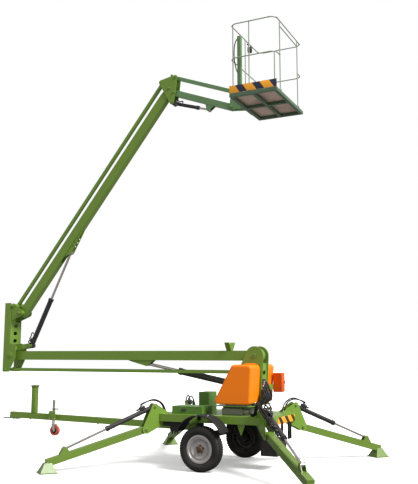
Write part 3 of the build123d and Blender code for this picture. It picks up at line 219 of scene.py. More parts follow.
CAST_GREY = Finish(
    "cast_grey", Kind.PAINT, (0.3, 0.3, 0.24), (0.17, 0.18, 0.13), 0.55,
    wear=0.25, dust=0.3, grain=160.0, depth=0.0006,
)
RIM_SILVER = Finish(
    "rim_silver", Kind.RIM, (0.42, 0.4, 0.39), (0.2, 0.16, 0.13), 0.4, metallic=0.3, coat=0.2, wear=0.2, dust=0.3
)
TYRE = Finish(
    "tyre_rubber", Kind.RUBBER, (0.013, 0.0125, 0.0125), (0.03, 0.027, 0.024), 0.7,
    dust=0.16, grain=240.0, depth=0.0004,
)
HOSE = Finish(
    "hose_rubber", Kind.RUBBER, (0.011, 0.01, 0.011), (0.03, 0.026, 0.025), 0.62,
    dust=0.06, grain=500.0, depth=0.0002,
)
RUST = Finish(
    "hub_rust", Kind.METAL, (0.1, 0.055, 0.035), (0.03, 0.022, 0.018), 0.7,
    metallic=0.2, dust=0.2, grain=160.0, depth=0.0006,
)
RED_WHEEL = Finish("red_wheel", Kind.PLASTIC, (0.55, 0.09, 0.06), (0.3, 0.04, 0.03), 0.5, dust=0.3)
RED = Finish("red_button", Kind.PLASTIC, (0.6, 0.02, 0.015), (0.35, 0.01, 0.01), 0.3, coat=0.3)
DARK_PLASTIC = Finish("dark_plastic", Kind.PLASTIC, (0.035, 0.035, 0.038), (0.02, 0.02, 0.02), 0.5, dust=0.15)
BOARD = Finish("floor_board", Kind.BOARD, (0.74, 0.56, 0.46), (0.52, 0.37, 0.3), 0.7, dust=0.2)
TOE_STRIPE = Finish(
    "toe_stripe", Kind.STRIPE, (0.95, 0.4, 0.022), (0.022, 0.026, 0.055), 0.45, coat=0.1, lean=0.66, start=4.527
)
REAR_STRIPE = Finish(
    "rear_stripe", Kind.STRIPE, (0.9, 0.38, 0.022), (0.045, 0.012, 0.006), 0.45, coat=0.1, lean=1.2, start=3.38
)

# The CAD nodes that take each finish
FINISHED = {
    GREEN: "boom_head boom_rest chassis_frame drawbar lower_boom lower_tie mast turntable turret upper_boom upper_tie",
    SKYLIT_PLATFORM_GREEN: "carrier control_post jib jib_tie",
    SHADED_FRAME_GREEN: "platform_frame",
    RAIL_GREEN: "guard_rail",
    SHADED_BOX_GREEN: "tall_box toolbox toolbox_lid",
    SHADED_LEG_GREEN: " ".join(f"outrigger_leg_{c}" for c in CORNERS),
    ORANGE: "hood_near hood_far",
    SHADED_ORANGE: "control_box",
    BLACK: "jib_barrel lift_barrel upper_barrel " + " ".join(f"outrigger_barrel_{c}" for c in CORNERS),
    UNDER_BLACK: "axle hydraulic_tank mudguards underslung_box",
    CHROME: "jib_rod lift_rod upper_rod " + " ".join(f"outrigger_rod_{c}" for c in CORNERS),
    ZINC: "jockey_fork jockey_leg jockey_tube",
    STEEL: "tow_eye",
    CAST_GREY: "power_unit slew_ring",
    RIM_SILVER: "rim_near rim_far",
    TYRE: "tyre_near tyre_far",
    RED_WHEEL: "jockey_wheel",
    BOARD: "platform_floor",
    TOE_STRIPE: "toe_board",
}
NODE_FINISH = {name: finish for finish, names in FINISHED.items() for name in names.split()}


class Graph:
    """A short way to fill a node tree."""

    def __init__(self, tree: Tree) -> None:
        """Keeps the shader or geometry tree to fill."""
        self.tree = tree

    @classmethod
    def group(
        cls, name: str, kind: str, inputs: dict[str, Any], outputs: dict[str, Socket]
    ) -> tuple["Graph", Any, Any]:
        """Starts a node group with its sockets.

        Args:
            name: The group's name.
            kind: Blender's name of the tree's type.
            inputs: Name and default of each input, or its kind of socket where it has no default.
            outputs: Name and kind of each output.

        Returns:
            The graph, the values given to it and the sockets that it puts out.
        """
        tree = bpy.data.node_groups.new(name, kind)
        for label, value in inputs.items():
            made = tree.interface.new_socket(name=label, in_out="INPUT", socket_type=cls._socket(value).value)
            if not isinstance(value, Socket):
                made.default_value = value
        for label, socket in outputs.items():
            tree.interface.new_socket(name=label, in_out="OUTPUT", socket_type=socket.value)
        graph = cls(tree)
        return graph, graph.node("NodeGroupInput").outputs, graph.node("NodeGroupOutput").inputs

    @staticmethod
    def _socket(value: Any) -> Socket:
        """Finds the kind of socket that holds a value.

        Args:
            value: A default, or the kind itself.

        Returns:
            The kind of socket.
        """
        if isinstance(value, Socket):
            return value
        if isinstance(value, tuple):
            return Socket.COLOUR if len(value) == 4 else Socket.VECTOR
        return Socket.COUNT if isinstance(value, int) else Socket.NUMBER

    def node(self, kind: str, inputs: dict[Any, Any] | None = None, **settings: Any) -> Node:
        """Adds a node, sets it and fills its sockets.

        Args:
            kind: The node's type.
            inputs: Socket name or number to a value or to another node's output.
            **settings: Properties of the node.

        Returns:
            The new node.
        """
        made = self.tree.nodes.new(kind)
        for key, value in settings.items():
            setattr(made, key, value)
        for key, value in (inputs or {}).items():
            if isinstance(value, Plug):
                self.link(value, made.inputs[key])
            else:
                made.inputs[key].default_value = value
        return made

    def made(self, kind: str, inputs: dict[Any, Any] | None = None, **settings: Any) -> Plug:
        """The first output of a new node, which is given as node() is."""
        return self.node(kind, inputs, **settings).outputs[0]

    def link(self, source: Plug, target: Plug) -> None:
        """Joins an output to an input."""
        self.tree.links.new(source, target)

    def place(self) -> Plug:
        """Object coordinates."""
        return self.node("ShaderNodeTexCoord").outputs["Object"]

    def maths(self, operation: str, first: Any, second: Any = 0.0, clamp: bool = False) -> Plug:
        """Adds one Math node."""
        return self.made("ShaderNodeMath", {0: first, 1: second}, operation=operation, use_clamp=clamp)

    def mix(self, share: Any, first: Any, second: Any) -> Plug:
        """Mixes two colours."""
        return self.node("ShaderNodeMix", {0: share, 6: first, 7: second}, data_type="RGBA").outputs[2]

    def noise(self, vector: Any, scale: Any, detail: float = 3.0) -> Plug:
        """Adds a noise texture."""
        return self.made("ShaderNodeTexNoise", {"Vector": vector, "Scale": scale, "Detail": detail})

    def ramp(self, value: Any, low: float, high: float, start: float = 0.0, end: float = 1.0) -> Plug:
        """Maps a value's range onto another, clamped."""
        inputs = {"Value": value, "From Min": low, "From Max": high, "To Min": start, "To Max": end}
        return self.made("ShaderNodeMapRange", inputs)


class ShaderGroups:
    """The effects that several materials share, each built once."""

    def __init__(self) -> None:
        """Builds every group."""
        self.mottle = self._mottle()
        self.edge_wear = self._edge_wear()
        self.road_dust = self._road_dust()
        self.fine_grain = self._fine_grain()

    @staticmethod
    def _mottle() -> Tree:
        """Builds the cloudy change between two colours, at two scales.

        Returns:
            The group.
        """
        inputs = {"Colour": (0.5, 0.5, 0.5, 1.0), "Second": (0.3, 0.3, 0.3, 1.0), "Scale": 3.0, "Amount": 0.3}
        graph, given, out = Graph.group("mottle", "ShaderNodeTree", inputs, {"Colour": Socket.COLOUR})
        place = graph.place()
        broad = graph.noise(place, given["Scale"], 2.0)
        fine = graph.noise(place, graph.maths("MULTIPLY", given["Scale"], 9.0), 4.0)
        both = graph.maths("ADD", graph.maths("MULTIPLY", broad, 0.7), graph.maths("MULTIPLY", fine, 0.3))
        share = graph.maths("MULTIPLY", graph.ramp(both, 0.42, 0.72), given["Amount"])
        graph.link(graph.mix(share, given["Colour"], given["Second"]), out["Colour"])
        return graph.tree

    @staticmethod
    def _edge_wear() -> Tree:
        """Builds the broken mask along sharp edges, with the rounded normal there.

        Returns:
            The group.
        """
        inputs = {"Radius": 0.004, "Scale": 30.0, "Amount": 0.4}
        outputs = {"Mask": Socket.NUMBER, "Normal": Socket.VECTOR}
        graph, given, out = Graph.group("edge_wear", "ShaderNodeTree", inputs, outputs)
        rounded = graph.made("ShaderNodeBevel", {"Radius": given["Radius"]}, samples=4)
        flat = graph.node("ShaderNodeNewGeometry").outputs["Normal"]
        dot = graph.node("ShaderNodeVectorMath", {0: rounded, 1: flat}, operation="DOT_PRODUCT")
        edge = graph.ramp(dot.outputs["Value"], 0.995, 0.93)
        chips = graph.ramp(graph.noise(graph.place(), given["Scale"], 5.0), 0.5, 0.62)
        graph.link(graph.maths("MULTIPLY", graph.maths("MULTIPLY", edge, chips), given["Amount"], True), out["Mask"])
        graph.link(rounded, out["Normal"])
        return graph.tree

    @staticmethod
    def _road_dust() -> Tree:
        """Builds the patchy mask that is heaviest low down and on faces that look up.

        Returns:
            The group.
        """
        inputs = {"Amount": 0.3, "Scale": 5.0}
        graph, given, out = Graph.group("road_dust", "ShaderNodeTree", inputs, {"Mask": Socket.NUMBER})
        place = graph.place()
        height = graph.node("ShaderNodeSeparateXYZ", {0: place}).outputs[2]
        low = graph.ramp(height, 0.1, 1.3, 1.0, 0.25)
        normal = graph.node("ShaderNodeNewGeometry").outputs["Normal"]
        facing = graph.node("ShaderNodeSeparateXYZ", {0: normal}).outputs[2]
        lying = graph.ramp(facing, -0.2, 1.0, 0.45, 1.0)
        patches = graph.ramp(graph.noise(place, given["Scale"], 6.0), 0.35, 0.75)
        mask = graph.maths("MULTIPLY", graph.maths("MULTIPLY", low, lying), patches)
        graph.link(graph.maths("MULTIPLY", mask, given["Amount"], True), out["Mask"])
        return graph.tree

    @staticmethod
    def _fine_grain() -> Tree:
        """Builds the fine surface height, such as spray texture, and a change of roughness.

        Returns:
            The group.
        """
        inputs = {"Scale": 90.0, "Roughness": 0.4, "Spread": 0.12}
        outputs = {"Height": Socket.NUMBER, "Roughness": Socket.NUMBER}
        graph, given, out = Graph.group("fine_grain", "ShaderNodeTree", inputs, outputs)
        place = graph.place()
        height = graph.noise(place, given["Scale"], 2.0)
        cloud = graph.noise(place, 7.0, 4.0)
        change = graph.maths("MULTIPLY", graph.maths("SUBTRACT", cloud, 0.5), given["Spread"])
        graph.link(height, out["Height"])
        graph.link(graph.maths("ADD", given["Roughness"], change, True), out["Roughness"])
        return graph.tree


class Finisher:
    """Makes each finish's material once and puts it on pieces."""

    DUST = (0.3, 0.26, 0.2, 1.0)
    STAIN = (0.36, 0.2, 0.17, 1.0)
    # The next two colours are painted shade on a wheel's rim: the dark ring in its well and the black behind its disc
    WELL_SHADE = (0.05, 0.045, 0.04, 1.0)
    SHADE = (0.016, 0.015, 0.014, 1.0)
    CLOUDS = {Kind.PAINT: 0.28, Kind.METAL: 0.5, Kind.RUBBER: 0.35, Kind.PLASTIC: 0.2}
    STRIPE_STEP = 0.275
    STRIPE_SHARE = 0.55
    PRINCIPLED = {"Coat Roughness": 0.12, "Specular IOR Level": 0.3}
    WEAR = {"Radius": 0.004, "Scale": 34.0}

    def __init__(self) -> None:
        """Builds the shared groups."""
        self.groups = ShaderGroups()
        self.made: dict[str, bpy.types.Material] = {}

    def material(self, finish: Finish) -> bpy.types.Material:
        """Gives the material of a finish.

        Args:
            finish: The finish wanted.

        Returns:
            Its material, built on first use.
        """
        if finish.name not in self.made:
            self.made[finish.name] = self._build(finish)
        return self.made[finish.name]

    def _base(self, graph: Graph, finish: Finish) -> Plug:
        """Makes the colour under dust and wear, by the kind of finish.

        Args:
            graph: The material's graph.
            finish: The finish being made.

        Returns:
            A colour socket.
        """
        place = graph.place()
        first, second = (*finish.colour, 1.0), (*finish.second, 1.0)
        if finish.kind is Kind.STRIPE:
            return self._stripes(graph, place, finish)
        if finish.kind is Kind.BOARD:
            stretch = graph.made("ShaderNodeMapping", {"Vector": place, "Scale": (3.0, 26.0, 3.0)})
            veins = graph.ramp(graph.noise(stretch, 3.0, 6.0), 0.35, 0.68)
            blotch = graph.ramp(graph.noise(place, 4.0, 4.0), 0.45, 0.7, 0.0, 0.5)
            return graph.mix(blotch, graph.mix(veins, first, second), self.STAIN)
        if finish.kind is Kind.RIM:
            return self._rim(graph, place, first, second)
        values = {"Colour": first, "Second": second, "Scale": 2.2, "Amount": self.CLOUDS[finish.kind]}
        return graph.node("ShaderNodeGroup", values, node_tree=self.groups.mottle).outputs["Colour"]

    def _stripes(self, graph: Graph, place: Plug, finish: Finish) -> Plug:
        """Makes slanted stripes along a board or plate, the light ones a little wider.

        Args:
            graph: The material's graph.
            place: Object coordinates.
            finish: The finish, whose lean and start place the stripes.

        Returns:
            A colour socket.
        """
        axes = graph.node("ShaderNodeSeparateXYZ", {0: place})
        lean = graph.maths("MULTIPLY", axes.outputs[2], finish.lean)
        run = graph.maths("ADD", graph.maths("ADD", axes.outputs[0], axes.outputs[1]), lean)
        steps = graph.maths("DIVIDE", graph.maths("SUBTRACT", run, finish.start), self.STRIPE_STEP)
        dark = graph.maths("GREATER_THAN", graph.maths("FRACT", steps), self.STRIPE_SHARE)
        return graph.mix(dark, (*finish.colour, 1.0), (*finish.second, 1.0))

    def _rim(self, graph: Graph, place: Plug, first: Any, second: Any) -> Plug:
        """Makes rings round a wheel's hub, rusty at the middle, with painted shade in a ring in its well and behind
        its disc.

        Args:
            graph: The material's graph.
            place: Object coordinates.
            first: Silver.
            second: Rust.

        Returns:
            A colour socket.
        """
        hub = box("rim_near").mid
        axes = graph.node("ShaderNodeSeparateXYZ", {0: place})
        dx = graph.maths("SUBTRACT", axes.outputs[0], hub.x)
        dz = graph.maths("SUBTRACT", axes.outputs[2], hub.z)
        square = graph.maths("ADD", graph.maths("MULTIPLY", dx, dx), graph.maths("MULTIPLY", dz, dz))
        radius = graph.maths("SQRT", square)
        cloud = graph.maths("MULTIPLY", graph.noise(place, 24.0, 4.0), 0.045)
        rusty = graph.ramp(graph.maths("ADD", radius, cloud), 0.105, 0.06)
        # Painted shade: a dark ring in the rim's well
        gap = graph.maths("ABSOLUTE", graph.maths("SUBTRACT", radius, 0.138))
        well_shade = graph.ramp(gap, 0.01, 0.004, 0.0, 0.55)
        coated = graph.mix(well_shade, graph.mix(rusty, first, second), self.WELL_SHADE)
        # Painted shade: black behind the disc
        depth = graph.maths("ABSOLUTE", axes.outputs[1])
        behind = graph.ramp(depth, abs(hub.y) + 0.03, abs(hub.y) + 0.006)
        return graph.mix(behind, coated, self.SHADE)

    def _build(self, finish: Finish) -> bpy.types.Material:
        """Builds a material.

        Args:
            finish: The finish to build.

        Returns:
            The material.
        """
        made = bpy.data.materials.new(finish.name)
        made.use_nodes = True
        made.node_tree.nodes.clear()
        graph = Graph(made.node_tree)
        out = graph.node("ShaderNodeOutputMaterial")
        plain = {"Metallic": finish.metallic, "Coat Weight": finish.coat, **self.PRINCIPLED}
        shader = graph.node("ShaderNodeBsdfPrincipled", plain)
        colour = self._base(graph, finish)
        wear = graph.node("ShaderNodeGroup", {**self.WEAR, "Amount": finish.wear}, node_tree=self.groups.edge_wear)
        if finish.wear:
            worn = tuple(min(1.0, c * 1.5 + 0.08) for c in finish.second)
            colour = graph.mix(wear.outputs["Mask"], colour, (*worn, 1.0))
        if finish.dust:
            amount = {"Amount": finish.dust, "Scale": 6.0}
            dust = graph.node("ShaderNodeGroup", amount, node_tree=self.groups.road_dust)
            colour = graph.mix(dust.outputs["Mask"], colour, self.DUST)
        fine = {"Scale": finish.grain, "Roughness": finish.roughness}
        grain = graph.node("ShaderNodeGroup", fine, node_tree=self.groups.fine_grain)
        height = {"Height": grain.outputs["Height"], "Strength": 0.5, "Distance": finish.depth}
        bump = graph.node("ShaderNodeBump", height)
        if finish.kind is not Kind.METAL:
            graph.link(wear.outputs["Normal"], bump.inputs["Normal"])
        graph.link(colour, shader.inputs["Base Color"])
        graph.link(grain.outputs["Roughness"], shader.inputs["Roughness"])
        graph.link(bump.outputs[0], shader.inputs["Normal"])
        graph.link(shader.outputs[0], out.inputs["Surface"])
        return made

    def coat(self, piece: Piece, finish: Finish) -> None:
        """Gives a piece one material all over.

        Args:
            piece: The piece or CAD node.
            finish: Its finish.
        """
        if not piece.data.materials:
            piece.data.materials.append(None)
        for index in range(len(piece.data.materials)):
            piece.data.materials[index] = self.material(finish)

    def dress_nodes(self) -> None:
        """Gives every CAD node its finish."""
        for name, node in frame["nodes"].items():
            self.coat(node, NODE_FINISH[name])
            LOG.info("finish %s on %s", NODE_FINISH[name].name, name)


class Trees:
    """The Geometry Nodes trees, each built once."""

    def __init__(self) -> None:
        """Builds every tree."""
        self.bolts = self._bolts()
        self.pipes = self._pipes()
        self.tread = self._tread()
        self.louvres = self._louvres()

    @staticmethod
    def _open(name: str, **inputs: Any) -> tuple[Graph, Any, Any]:
        """Starts a tree with geometry in and out, and inputs whose underscores stand for spaces."""
        named = {"Geometry": Socket.GEOMETRY, **{key.replace("_", " "): value for key, value in inputs.items()}}
        return Graph.group(name, "GeometryNodeTree", named, {"Geometry": Socket.GEOMETRY})

    @staticmethod
    def _painted(graph: Graph, geometry: Any, material: Any) -> Plug:
        """Realizes instances and sets their material."""
        real = graph.made("GeometryNodeRealizeInstances", {0: geometry})
        return graph.made("GeometryNodeSetMaterial", {"Geometry": real, "Material": material})

    @staticmethod
    def _join(graph: Graph, parts: Iterable[Plug]) -> Plug:
        """Joins geometries.

        Args:
            graph: The tree's graph.
            parts: Geometry sockets.

        Returns:
            The joined geometry's socket.
        """
        joined = graph.node("GeometryNodeJoinGeometry")
        for part in parts:
            graph.link(part, joined.inputs[0])
        return joined.outputs[0]

    @staticmethod
    def _turn(graph: Graph, vector: Any, axis: str) -> Plug:
        """Turns an axis to a direction."""
        return graph.made("FunctionNodeAlignRotationToVector", {"Vector": vector}, axis=axis)

    def _bolts(self) -> Tree:
        """Builds a washer and a head at each point, turned to the point's axis.

        Returns:
            The tree.
        """
        graph, given, out = self._open(
            "bolts", Head_Sides=6, Head_Radius=0.012, Head_Height=0.008, Washer_Radius=0.016, Washer_Height=0.003,
            Material=Socket.MATERIAL,
        )
        cones = []
        for sides, name, share in ((given["Head Sides"], "Head", 0.88), (20, "Washer", 0.93)):
            radius = given[f"{name} Radius"]
            sizes = {"Vertices": sides, "Depth": given[f"{name} Height"], "Radius Bottom": radius}
            cone = graph.node("GeometryNodeMeshCone", sizes)
            graph.link(graph.maths("MULTIPLY", radius, share), cone.inputs["Radius Top"])
            cones.append(cone.outputs[0])
        lift = graph.made("ShaderNodeCombineXYZ", {2: given["Washer Height"]})
        head = graph.made("GeometryNodeTransform", {"Geometry": cones[0], "Translation": lift})
        axis = graph.made("GeometryNodeInputNamedAttribute", {"Name": "axis"}, data_type="FLOAT_VECTOR")
        pair, turn = self._join(graph, (head, cones[1])), self._turn(graph, axis, "Z")
        inputs = {"Points": given[0], "Instance": pair, "Rotation": turn}
        placed = graph.made("GeometryNodeInstanceOnPoints", inputs)
        graph.link(self._painted(graph, placed, given["Material"]), out[0])
        return graph.tree

    def _pipes(self) -> Tree:
        """Builds a smooth tube along each chain of edges, with a crimped ferrule at both ends.

        Returns:
            The tree.
        """
        graph, given, out = self._open(
            "pipes", Radius=0.008, Ferrule_Radius=0.012, Ferrule_Length=0.04, Material=Socket.MATERIAL,
            Ferrule_Material=Socket.MATERIAL,
        )
        line = graph.made("GeometryNodeMeshToCurve", {0: given[0]})
        smooth = graph.made("GeometryNodeCurveSplineType", {0: line}, spline_type="CATMULL_ROM")
        fine = graph.made("GeometryNodeSetSplineResolution", {0: smooth, "Resolution": 8})
        ring = graph.made("GeometryNodeCurvePrimitiveCircle", {"Resolution": 12, "Radius": given["Radius"]})
        inputs = {"Curve": fine, "Profile Curve": ring, "Fill Caps": True}
        tube = graph.made("GeometryNodeCurveToMesh", inputs)
        dressed = graph.made("GeometryNodeSetMaterial", {"Geometry": tube, "Material": given["Material"]})
        sizes = {"Vertices": 14, "Radius": given["Ferrule Radius"], "Depth": given["Ferrule Length"]}
        ferrule = graph.made("GeometryNodeMeshCylinder", sizes)
        ends = graph.made("GeometryNodeCurveEndpointSelection")
        turn = self._turn(graph, graph.made("GeometryNodeInputTangent"), "Z")
        inputs = {"Points": smooth, "Selection": ends, "Instance": ferrule, "Rotation": turn}
        placed = graph.made("GeometryNodeInstanceOnPoints", inputs)
        capped = self._painted(graph, placed, given["Ferrule Material"])
        both = self._join(graph, (dressed, capped))
        graph.link(graph.made("GeometryNodeSetShadeSmooth", {0: both}), out[0])
        return graph.tree

    def _tread(self) -> Tree:
        """Builds rows of blocks round a tyre's crown, with each second row turned half a step.

        Returns:
            The tree.
        """
        graph, given, out = self._open(
            "tread", Count=56, Radius=0.312, Block=(0.03, 0.02, 0.01), Row_Step=0.03, Material=Socket.MATERIAL
        )
        block = graph.made("GeometryNodeMeshCube", {"Size": given["Block"]})
        circle = {"Vertices": given["Count"], "Radius": given["Radius"]}
        ring = graph.made("GeometryNodeMeshCircle", circle)
        turn = self._turn(graph, graph.made("GeometryNodeInputPosition"), "X")
        level = {"Rotation": turn, "Vector": tuple(UP)}
        turned = graph.made("FunctionNodeAlignRotationToVector", level, axis="Z", pivot_axis="X")
        inputs = {"Points": ring, "Instance": block, "Rotation": turned}
        row = graph.made("GeometryNodeInstanceOnPoints", inputs)
        half = graph.maths("DIVIDE", math.pi, given["Count"])
        rows = []
        for index in range(-2, 3):
            shift = graph.maths("MULTIPLY", given["Row Step"], float(index))
            spin = graph.maths("MULTIPLY", half, float(index % 2))
            move = graph.made("ShaderNodeCombineXYZ", {2: shift})
            roll = graph.made("ShaderNodeCombineXYZ", {2: spin})
            inputs = {"Geometry": row, "Translation": move, "Rotation": roll}
            rows.append(graph.made("GeometryNodeTransform", inputs))
        graph.link(self._painted(graph, self._join(graph, rows), given["Material"]), out[0])
        return graph.tree

    def _louvres(self) -> Tree:
        """Builds a straight row of tilted slats.

        Returns:
            The tree.
        """
        graph, given, out = self._open(
            "louvres", Count=6, Step=(0.0, 0.0, 0.03), Slat=(0.2, 0.004, 0.02), Tilt=(0.6, 0.0, 0.0),
            Material=Socket.MATERIAL,
        )
        line = graph.made("GeometryNodeMeshLine", {"Count": given["Count"], "Offset": given["Step"]})
        slat = graph.made("GeometryNodeMeshCube", {"Size": given["Slat"]})
        angle = graph.made("FunctionNodeEulerToRotation", {0: given["Tilt"]})
        inputs = {"Points": line, "Instance": slat, "Rotation": angle}
        placed = graph.made("GeometryNodeInstanceOnPoints", inputs)
        graph.link(self._painted(graph, placed, given["Material"]), out[0])
        return graph.tree


def circle(radius: float, count: int, phase: float = 0.0) -> list[Pair]:
    """Sets points evenly round a circle."""
    angles = [2 * math.pi * (k + phase) / count for k in range(count)]
    return [(radius * math.cos(a), radius * math.sin(a)) for a in angles]


def shown(name: str, data: bpy.types.ID) -> Piece:
    """Puts a new object in the scene.

    Args:
        name: Its name.
        data: Its mesh, light or camera.

    Returns:
        The object.
    """
    made = bpy.data.objects.new(name, data)
    bpy.context.scene.collection.objects.link(made)
    return made


class Box(NamedTuple):
    """A CAD node's lowest and highest corners and its middle, at rest."""

    low: Vector
    high: Vector
    mid: Vector


def box(node: str) -> Box:
    """Reads the box of a CAD node."""
    low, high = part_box(node)
    return Box(low, high, (low + high) / 2)


class Part:
    """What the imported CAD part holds: its faces, joints and axle."""

    def __init__(self) -> None:
        """Reads the joints and the axle's place, and builds one search tree over every CAD node."""
        self.joints = {j["name"]: j for j in frame["joints"]}
        low, high, _ = box("tyre_near")
        self.axle = (low.x + high.x) / 2
        points: list[Vector] = []
        faces: list[tuple[int, ...]] = []
        self.owner: list[str] = []
        for name, node in frame["nodes"].items():
            start = len(points)
            points += [v.co.copy() for v in node.data.vertices]
            for face in node.data.polygons:
                faces.append(tuple(start + i for i in face.vertices))
                self.owner.append(name)
        self.tree = BVHTree.FromPolygons(points, faces)

    def touch(self, start: Vector, way: Vector) -> tuple[Vector, str] | None:
        """Finds the first face met from a point.

        Args:
            start: Where the search starts.
            way: Its direction.

        Returns:
            The point and the body that carries the face, or None.
        """
        where, _, index, _ = self.tree.ray_cast(start, way)
        if where is None:
            return None
        return where, frame["nodes"][self.owner[index]]["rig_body"]

    def at(self, x: float, y: float, z: float) -> Vector:
        """Places a point by its distance from the axle."""
        return Vector((self.axle + x, y, z))

    def pivot(self, joint: str) -> Vector:
        """A hinge's middle."""
        return Vector(self.joints[joint]["pos_m"])

    def way(self, joint: str) -> Vector:
        """A joint's direction."""
        return Vector(self.joints[joint]["axis"]).normalized()


def lifted(way: Vector, across: Vector) -> tuple[Vector, Matrix]:
    """Finds the upward direction square to a cylinder and its pin.

    Args:
        way: The cylinder's direction.
        across: The pin's direction.

    Returns:
        The direction, and the turn of a block that lies along the cylinder.
    """
    rise = across.cross(way)
    if rise.z < 0:
        rise = -rise
    return rise, Matrix((way, across, rise)).transposed()


@dataclass
class Gear:
    """A sub-assembly, with the ways in which its pieces are made.

    Args:
        finisher: Source of materials.
        trees: The Geometry Nodes trees.
        part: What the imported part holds.
    """

    finisher: Finisher
    trees: Trees
    part: Part
    smooth: ClassVar[float] = math.radians(35.0)
    # head height, washer radius and washer height, as shares of the head's radius
    bolt_shares: ClassVar[Point] = (0.75, 1.35, 0.25)
    ferrule_share: ClassVar[float] = 1.45

    def __post_init__(self) -> None:
        """Starts an empty mesh."""
        self.bm = bmesh.new()

    def block(
        self, centre: Sequence[float], size: Point, bevel: float = 0.003, turn: Matrix | None = None
    ) -> None:
        """Adds a box with rounded edges to the mesh that is being built.

        Args:
            centre: Middle of the box.
            size: Its three sizes.
            bevel: Radius of its edges.
            turn: Rotation about its middle.
        """
        place = Matrix.Translation(Vector(centre)) @ (turn or Matrix.Identity(3)).to_4x4()
        bm = self.bm
        made = bmesh.ops.create_cube(bm, size=1.0, matrix=Matrix.Identity(4))
        bmesh.ops.scale(bm, vec=Vector(size), verts=made["verts"])
        edges = list(dict.fromkeys(e for v in made["verts"] for e in v.link_edges))
        radius = min(bevel, min(size) * 0.3)
        rounded = bmesh.ops.bevel(bm, geom=edges, offset=radius, segments=2, profile=0.6, affect="EDGES")
        verts = dict.fromkeys(v for f in rounded["faces"] for v in f.verts)
        verts.update(dict.fromkeys(v for v in made["verts"] if v.is_valid))
        bmesh.ops.transform(bm, matrix=place, verts=list(verts))

    def turned(
        self, profile: Sequence[Pair], centre: Sequence[float], axis: Vector, segments: int = 28, hollow: bool = False
    ) -> None:
        """Adds a turned solid to the mesh that is being built.

        Args:
            profile: Radius and height of each corner, up along the axis.
            centre: Foot of the axis.
            axis: Direction of the axis.
            segments: Faces round it.
            hollow: Whether the profile closes on itself, as a ring's does.
        """
        place = Matrix.Translation(Vector(centre)) @ axis.to_track_quat("Z", "Y").to_matrix().to_4x4()
        rings = []
        for radius, height in profile:
            spots = circle(radius, segments) if radius else [(0.0, 0.0)]
            rings.append([self.bm.verts.new(place @ Vector((x, y, height))) for x, y in spots])
        for low, high in zip(rings, rings[1:] + rings[:1] if hollow else rings[1:]):
            for k in range(segments):
                j = k + 1
                ring = (low[k % len(low)], low[j % len(low)], high[j % len(high)], high[k % len(high)])
                corners = list(dict.fromkeys(ring))
                if len(corners) > 2:
                    self.bm.faces.new(corners)
        for ring, flip in ((rings[0], True), (rings[-1], False)):
            if len(ring) > 2 and not hollow:
                self.bm.faces.new(list(reversed(ring)) if flip else ring)

    def plate(
        self, outline: Sequence[Pair], base: Matrix, thickness: float, holes: Sequence[tuple[float, ...]] = ()
    ) -> None:
        """Adds a flat plate cut to an outline, with round or long holes, to the mesh that is being built.

        Args:
            outline: Corners in the plate's own plane.
            base: Place of the plane, whose third axis is the plate's thickness.
            thickness: The plate's thickness.
            holes: Middle, radius and half the straight length of each, the long way first.
        """
        bm = self.bm
        rings = [list(outline)]
        for u, v, radius, straight in holes:
            rings.append([(u + p + math.copysign(straight, p), v + q) for p, q in circle(radius, 24, 0.5)])
        loops = [[bm.verts.new((u, v, 0.0)) for u, v in ring] for ring in rings]
        edges = [bm.edges.new((a, b)) for loop in loops for a, b in zip(loop, loop[1:] + loop[:1])]
        filled = bmesh.ops.triangle_fill(bm, use_beauty=True, use_dissolve=False, edges=edges)
        faces = [f for f in filled["geom"] if isinstance(f, bmesh.types.BMFace)]
        lifted = {v: bm.verts.new((v.co.x, v.co.y, thickness)) for loop in loops for v in loop}
        for face in faces:
            bm.faces.new([lifted[v] for v in reversed(face.verts)])
        for loop in loops:
            for a, b in zip(loop, loop[1:] + loop[:1]):
                bm.faces.new((a, b, lifted[b], lifted[a]))
        bmesh.ops.transform(bm, matrix=base, verts=list(lifted) + list(lifted.values()))

    @staticmethod
    def hull(rounds: Sequence[Point], corners: Sequence[Pair] = ()) -> list[Pair]:
        """Finds the outline stretched round discs and corners.

        Args:
            rounds: Middle and radius of each disc.
            corners: Further points.

        Returns:
            Its corners in order.
        """
        points = list(corners)
        for u, v, radius in rounds:
            points += [(u + p, v + q) for p, q in circle(radius, 32)]
        return [points[k] for k in convex_hull_2d(points)]

    @staticmethod
    def around(centre: Vector, radius: float, count: int, phase: float, first: Vector, second: Vector) -> list[Vector]:
        """Sets points evenly round a circle."""
        return [centre + first * p + second * q for p, q in circle(radius, count, phase)]

    def stand_in(self, name: str, body: str, finish: Finish, node: str) -> None:
        """Turns the mesh that is being built into a piece that stands for a solid of the part."""
        self.stand_for(self.piece(name, body, finish), node)

    @staticmethod
    def stand_for(made: Piece, node: str) -> None:
        """Puts a piece in a solid's place by hiding the solid.

        Args:
            made: The piece; not used.
            node: The solid it stands for.
        """
        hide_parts(node)

    def piece(self, name: str, body: str, finish: Finish) -> Piece:
        """Turns the mesh that is being built into a piece that rides on a body, and starts the next.

        Args:
            name: The piece's name.
            body: The body it rides on.
            finish: Its finish.

        Returns:
            The piece.
        """
        bmesh.ops.recalc_face_normals(self.bm, faces=self.bm.faces)
        mesh = bpy.data.meshes.new(name)
        self.bm.to_mesh(mesh)
        self.bm.clear()
        made = shown(name, mesh)
        mesh.polygons.foreach_set("use_smooth", [True] * len(mesh.polygons))
        mesh.set_sharp_from_angle(angle=self.smooth)
        self.finisher.coat(made, finish)
        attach(made, body)
        LOG.info("piece %s on %s", name, body)
        return made

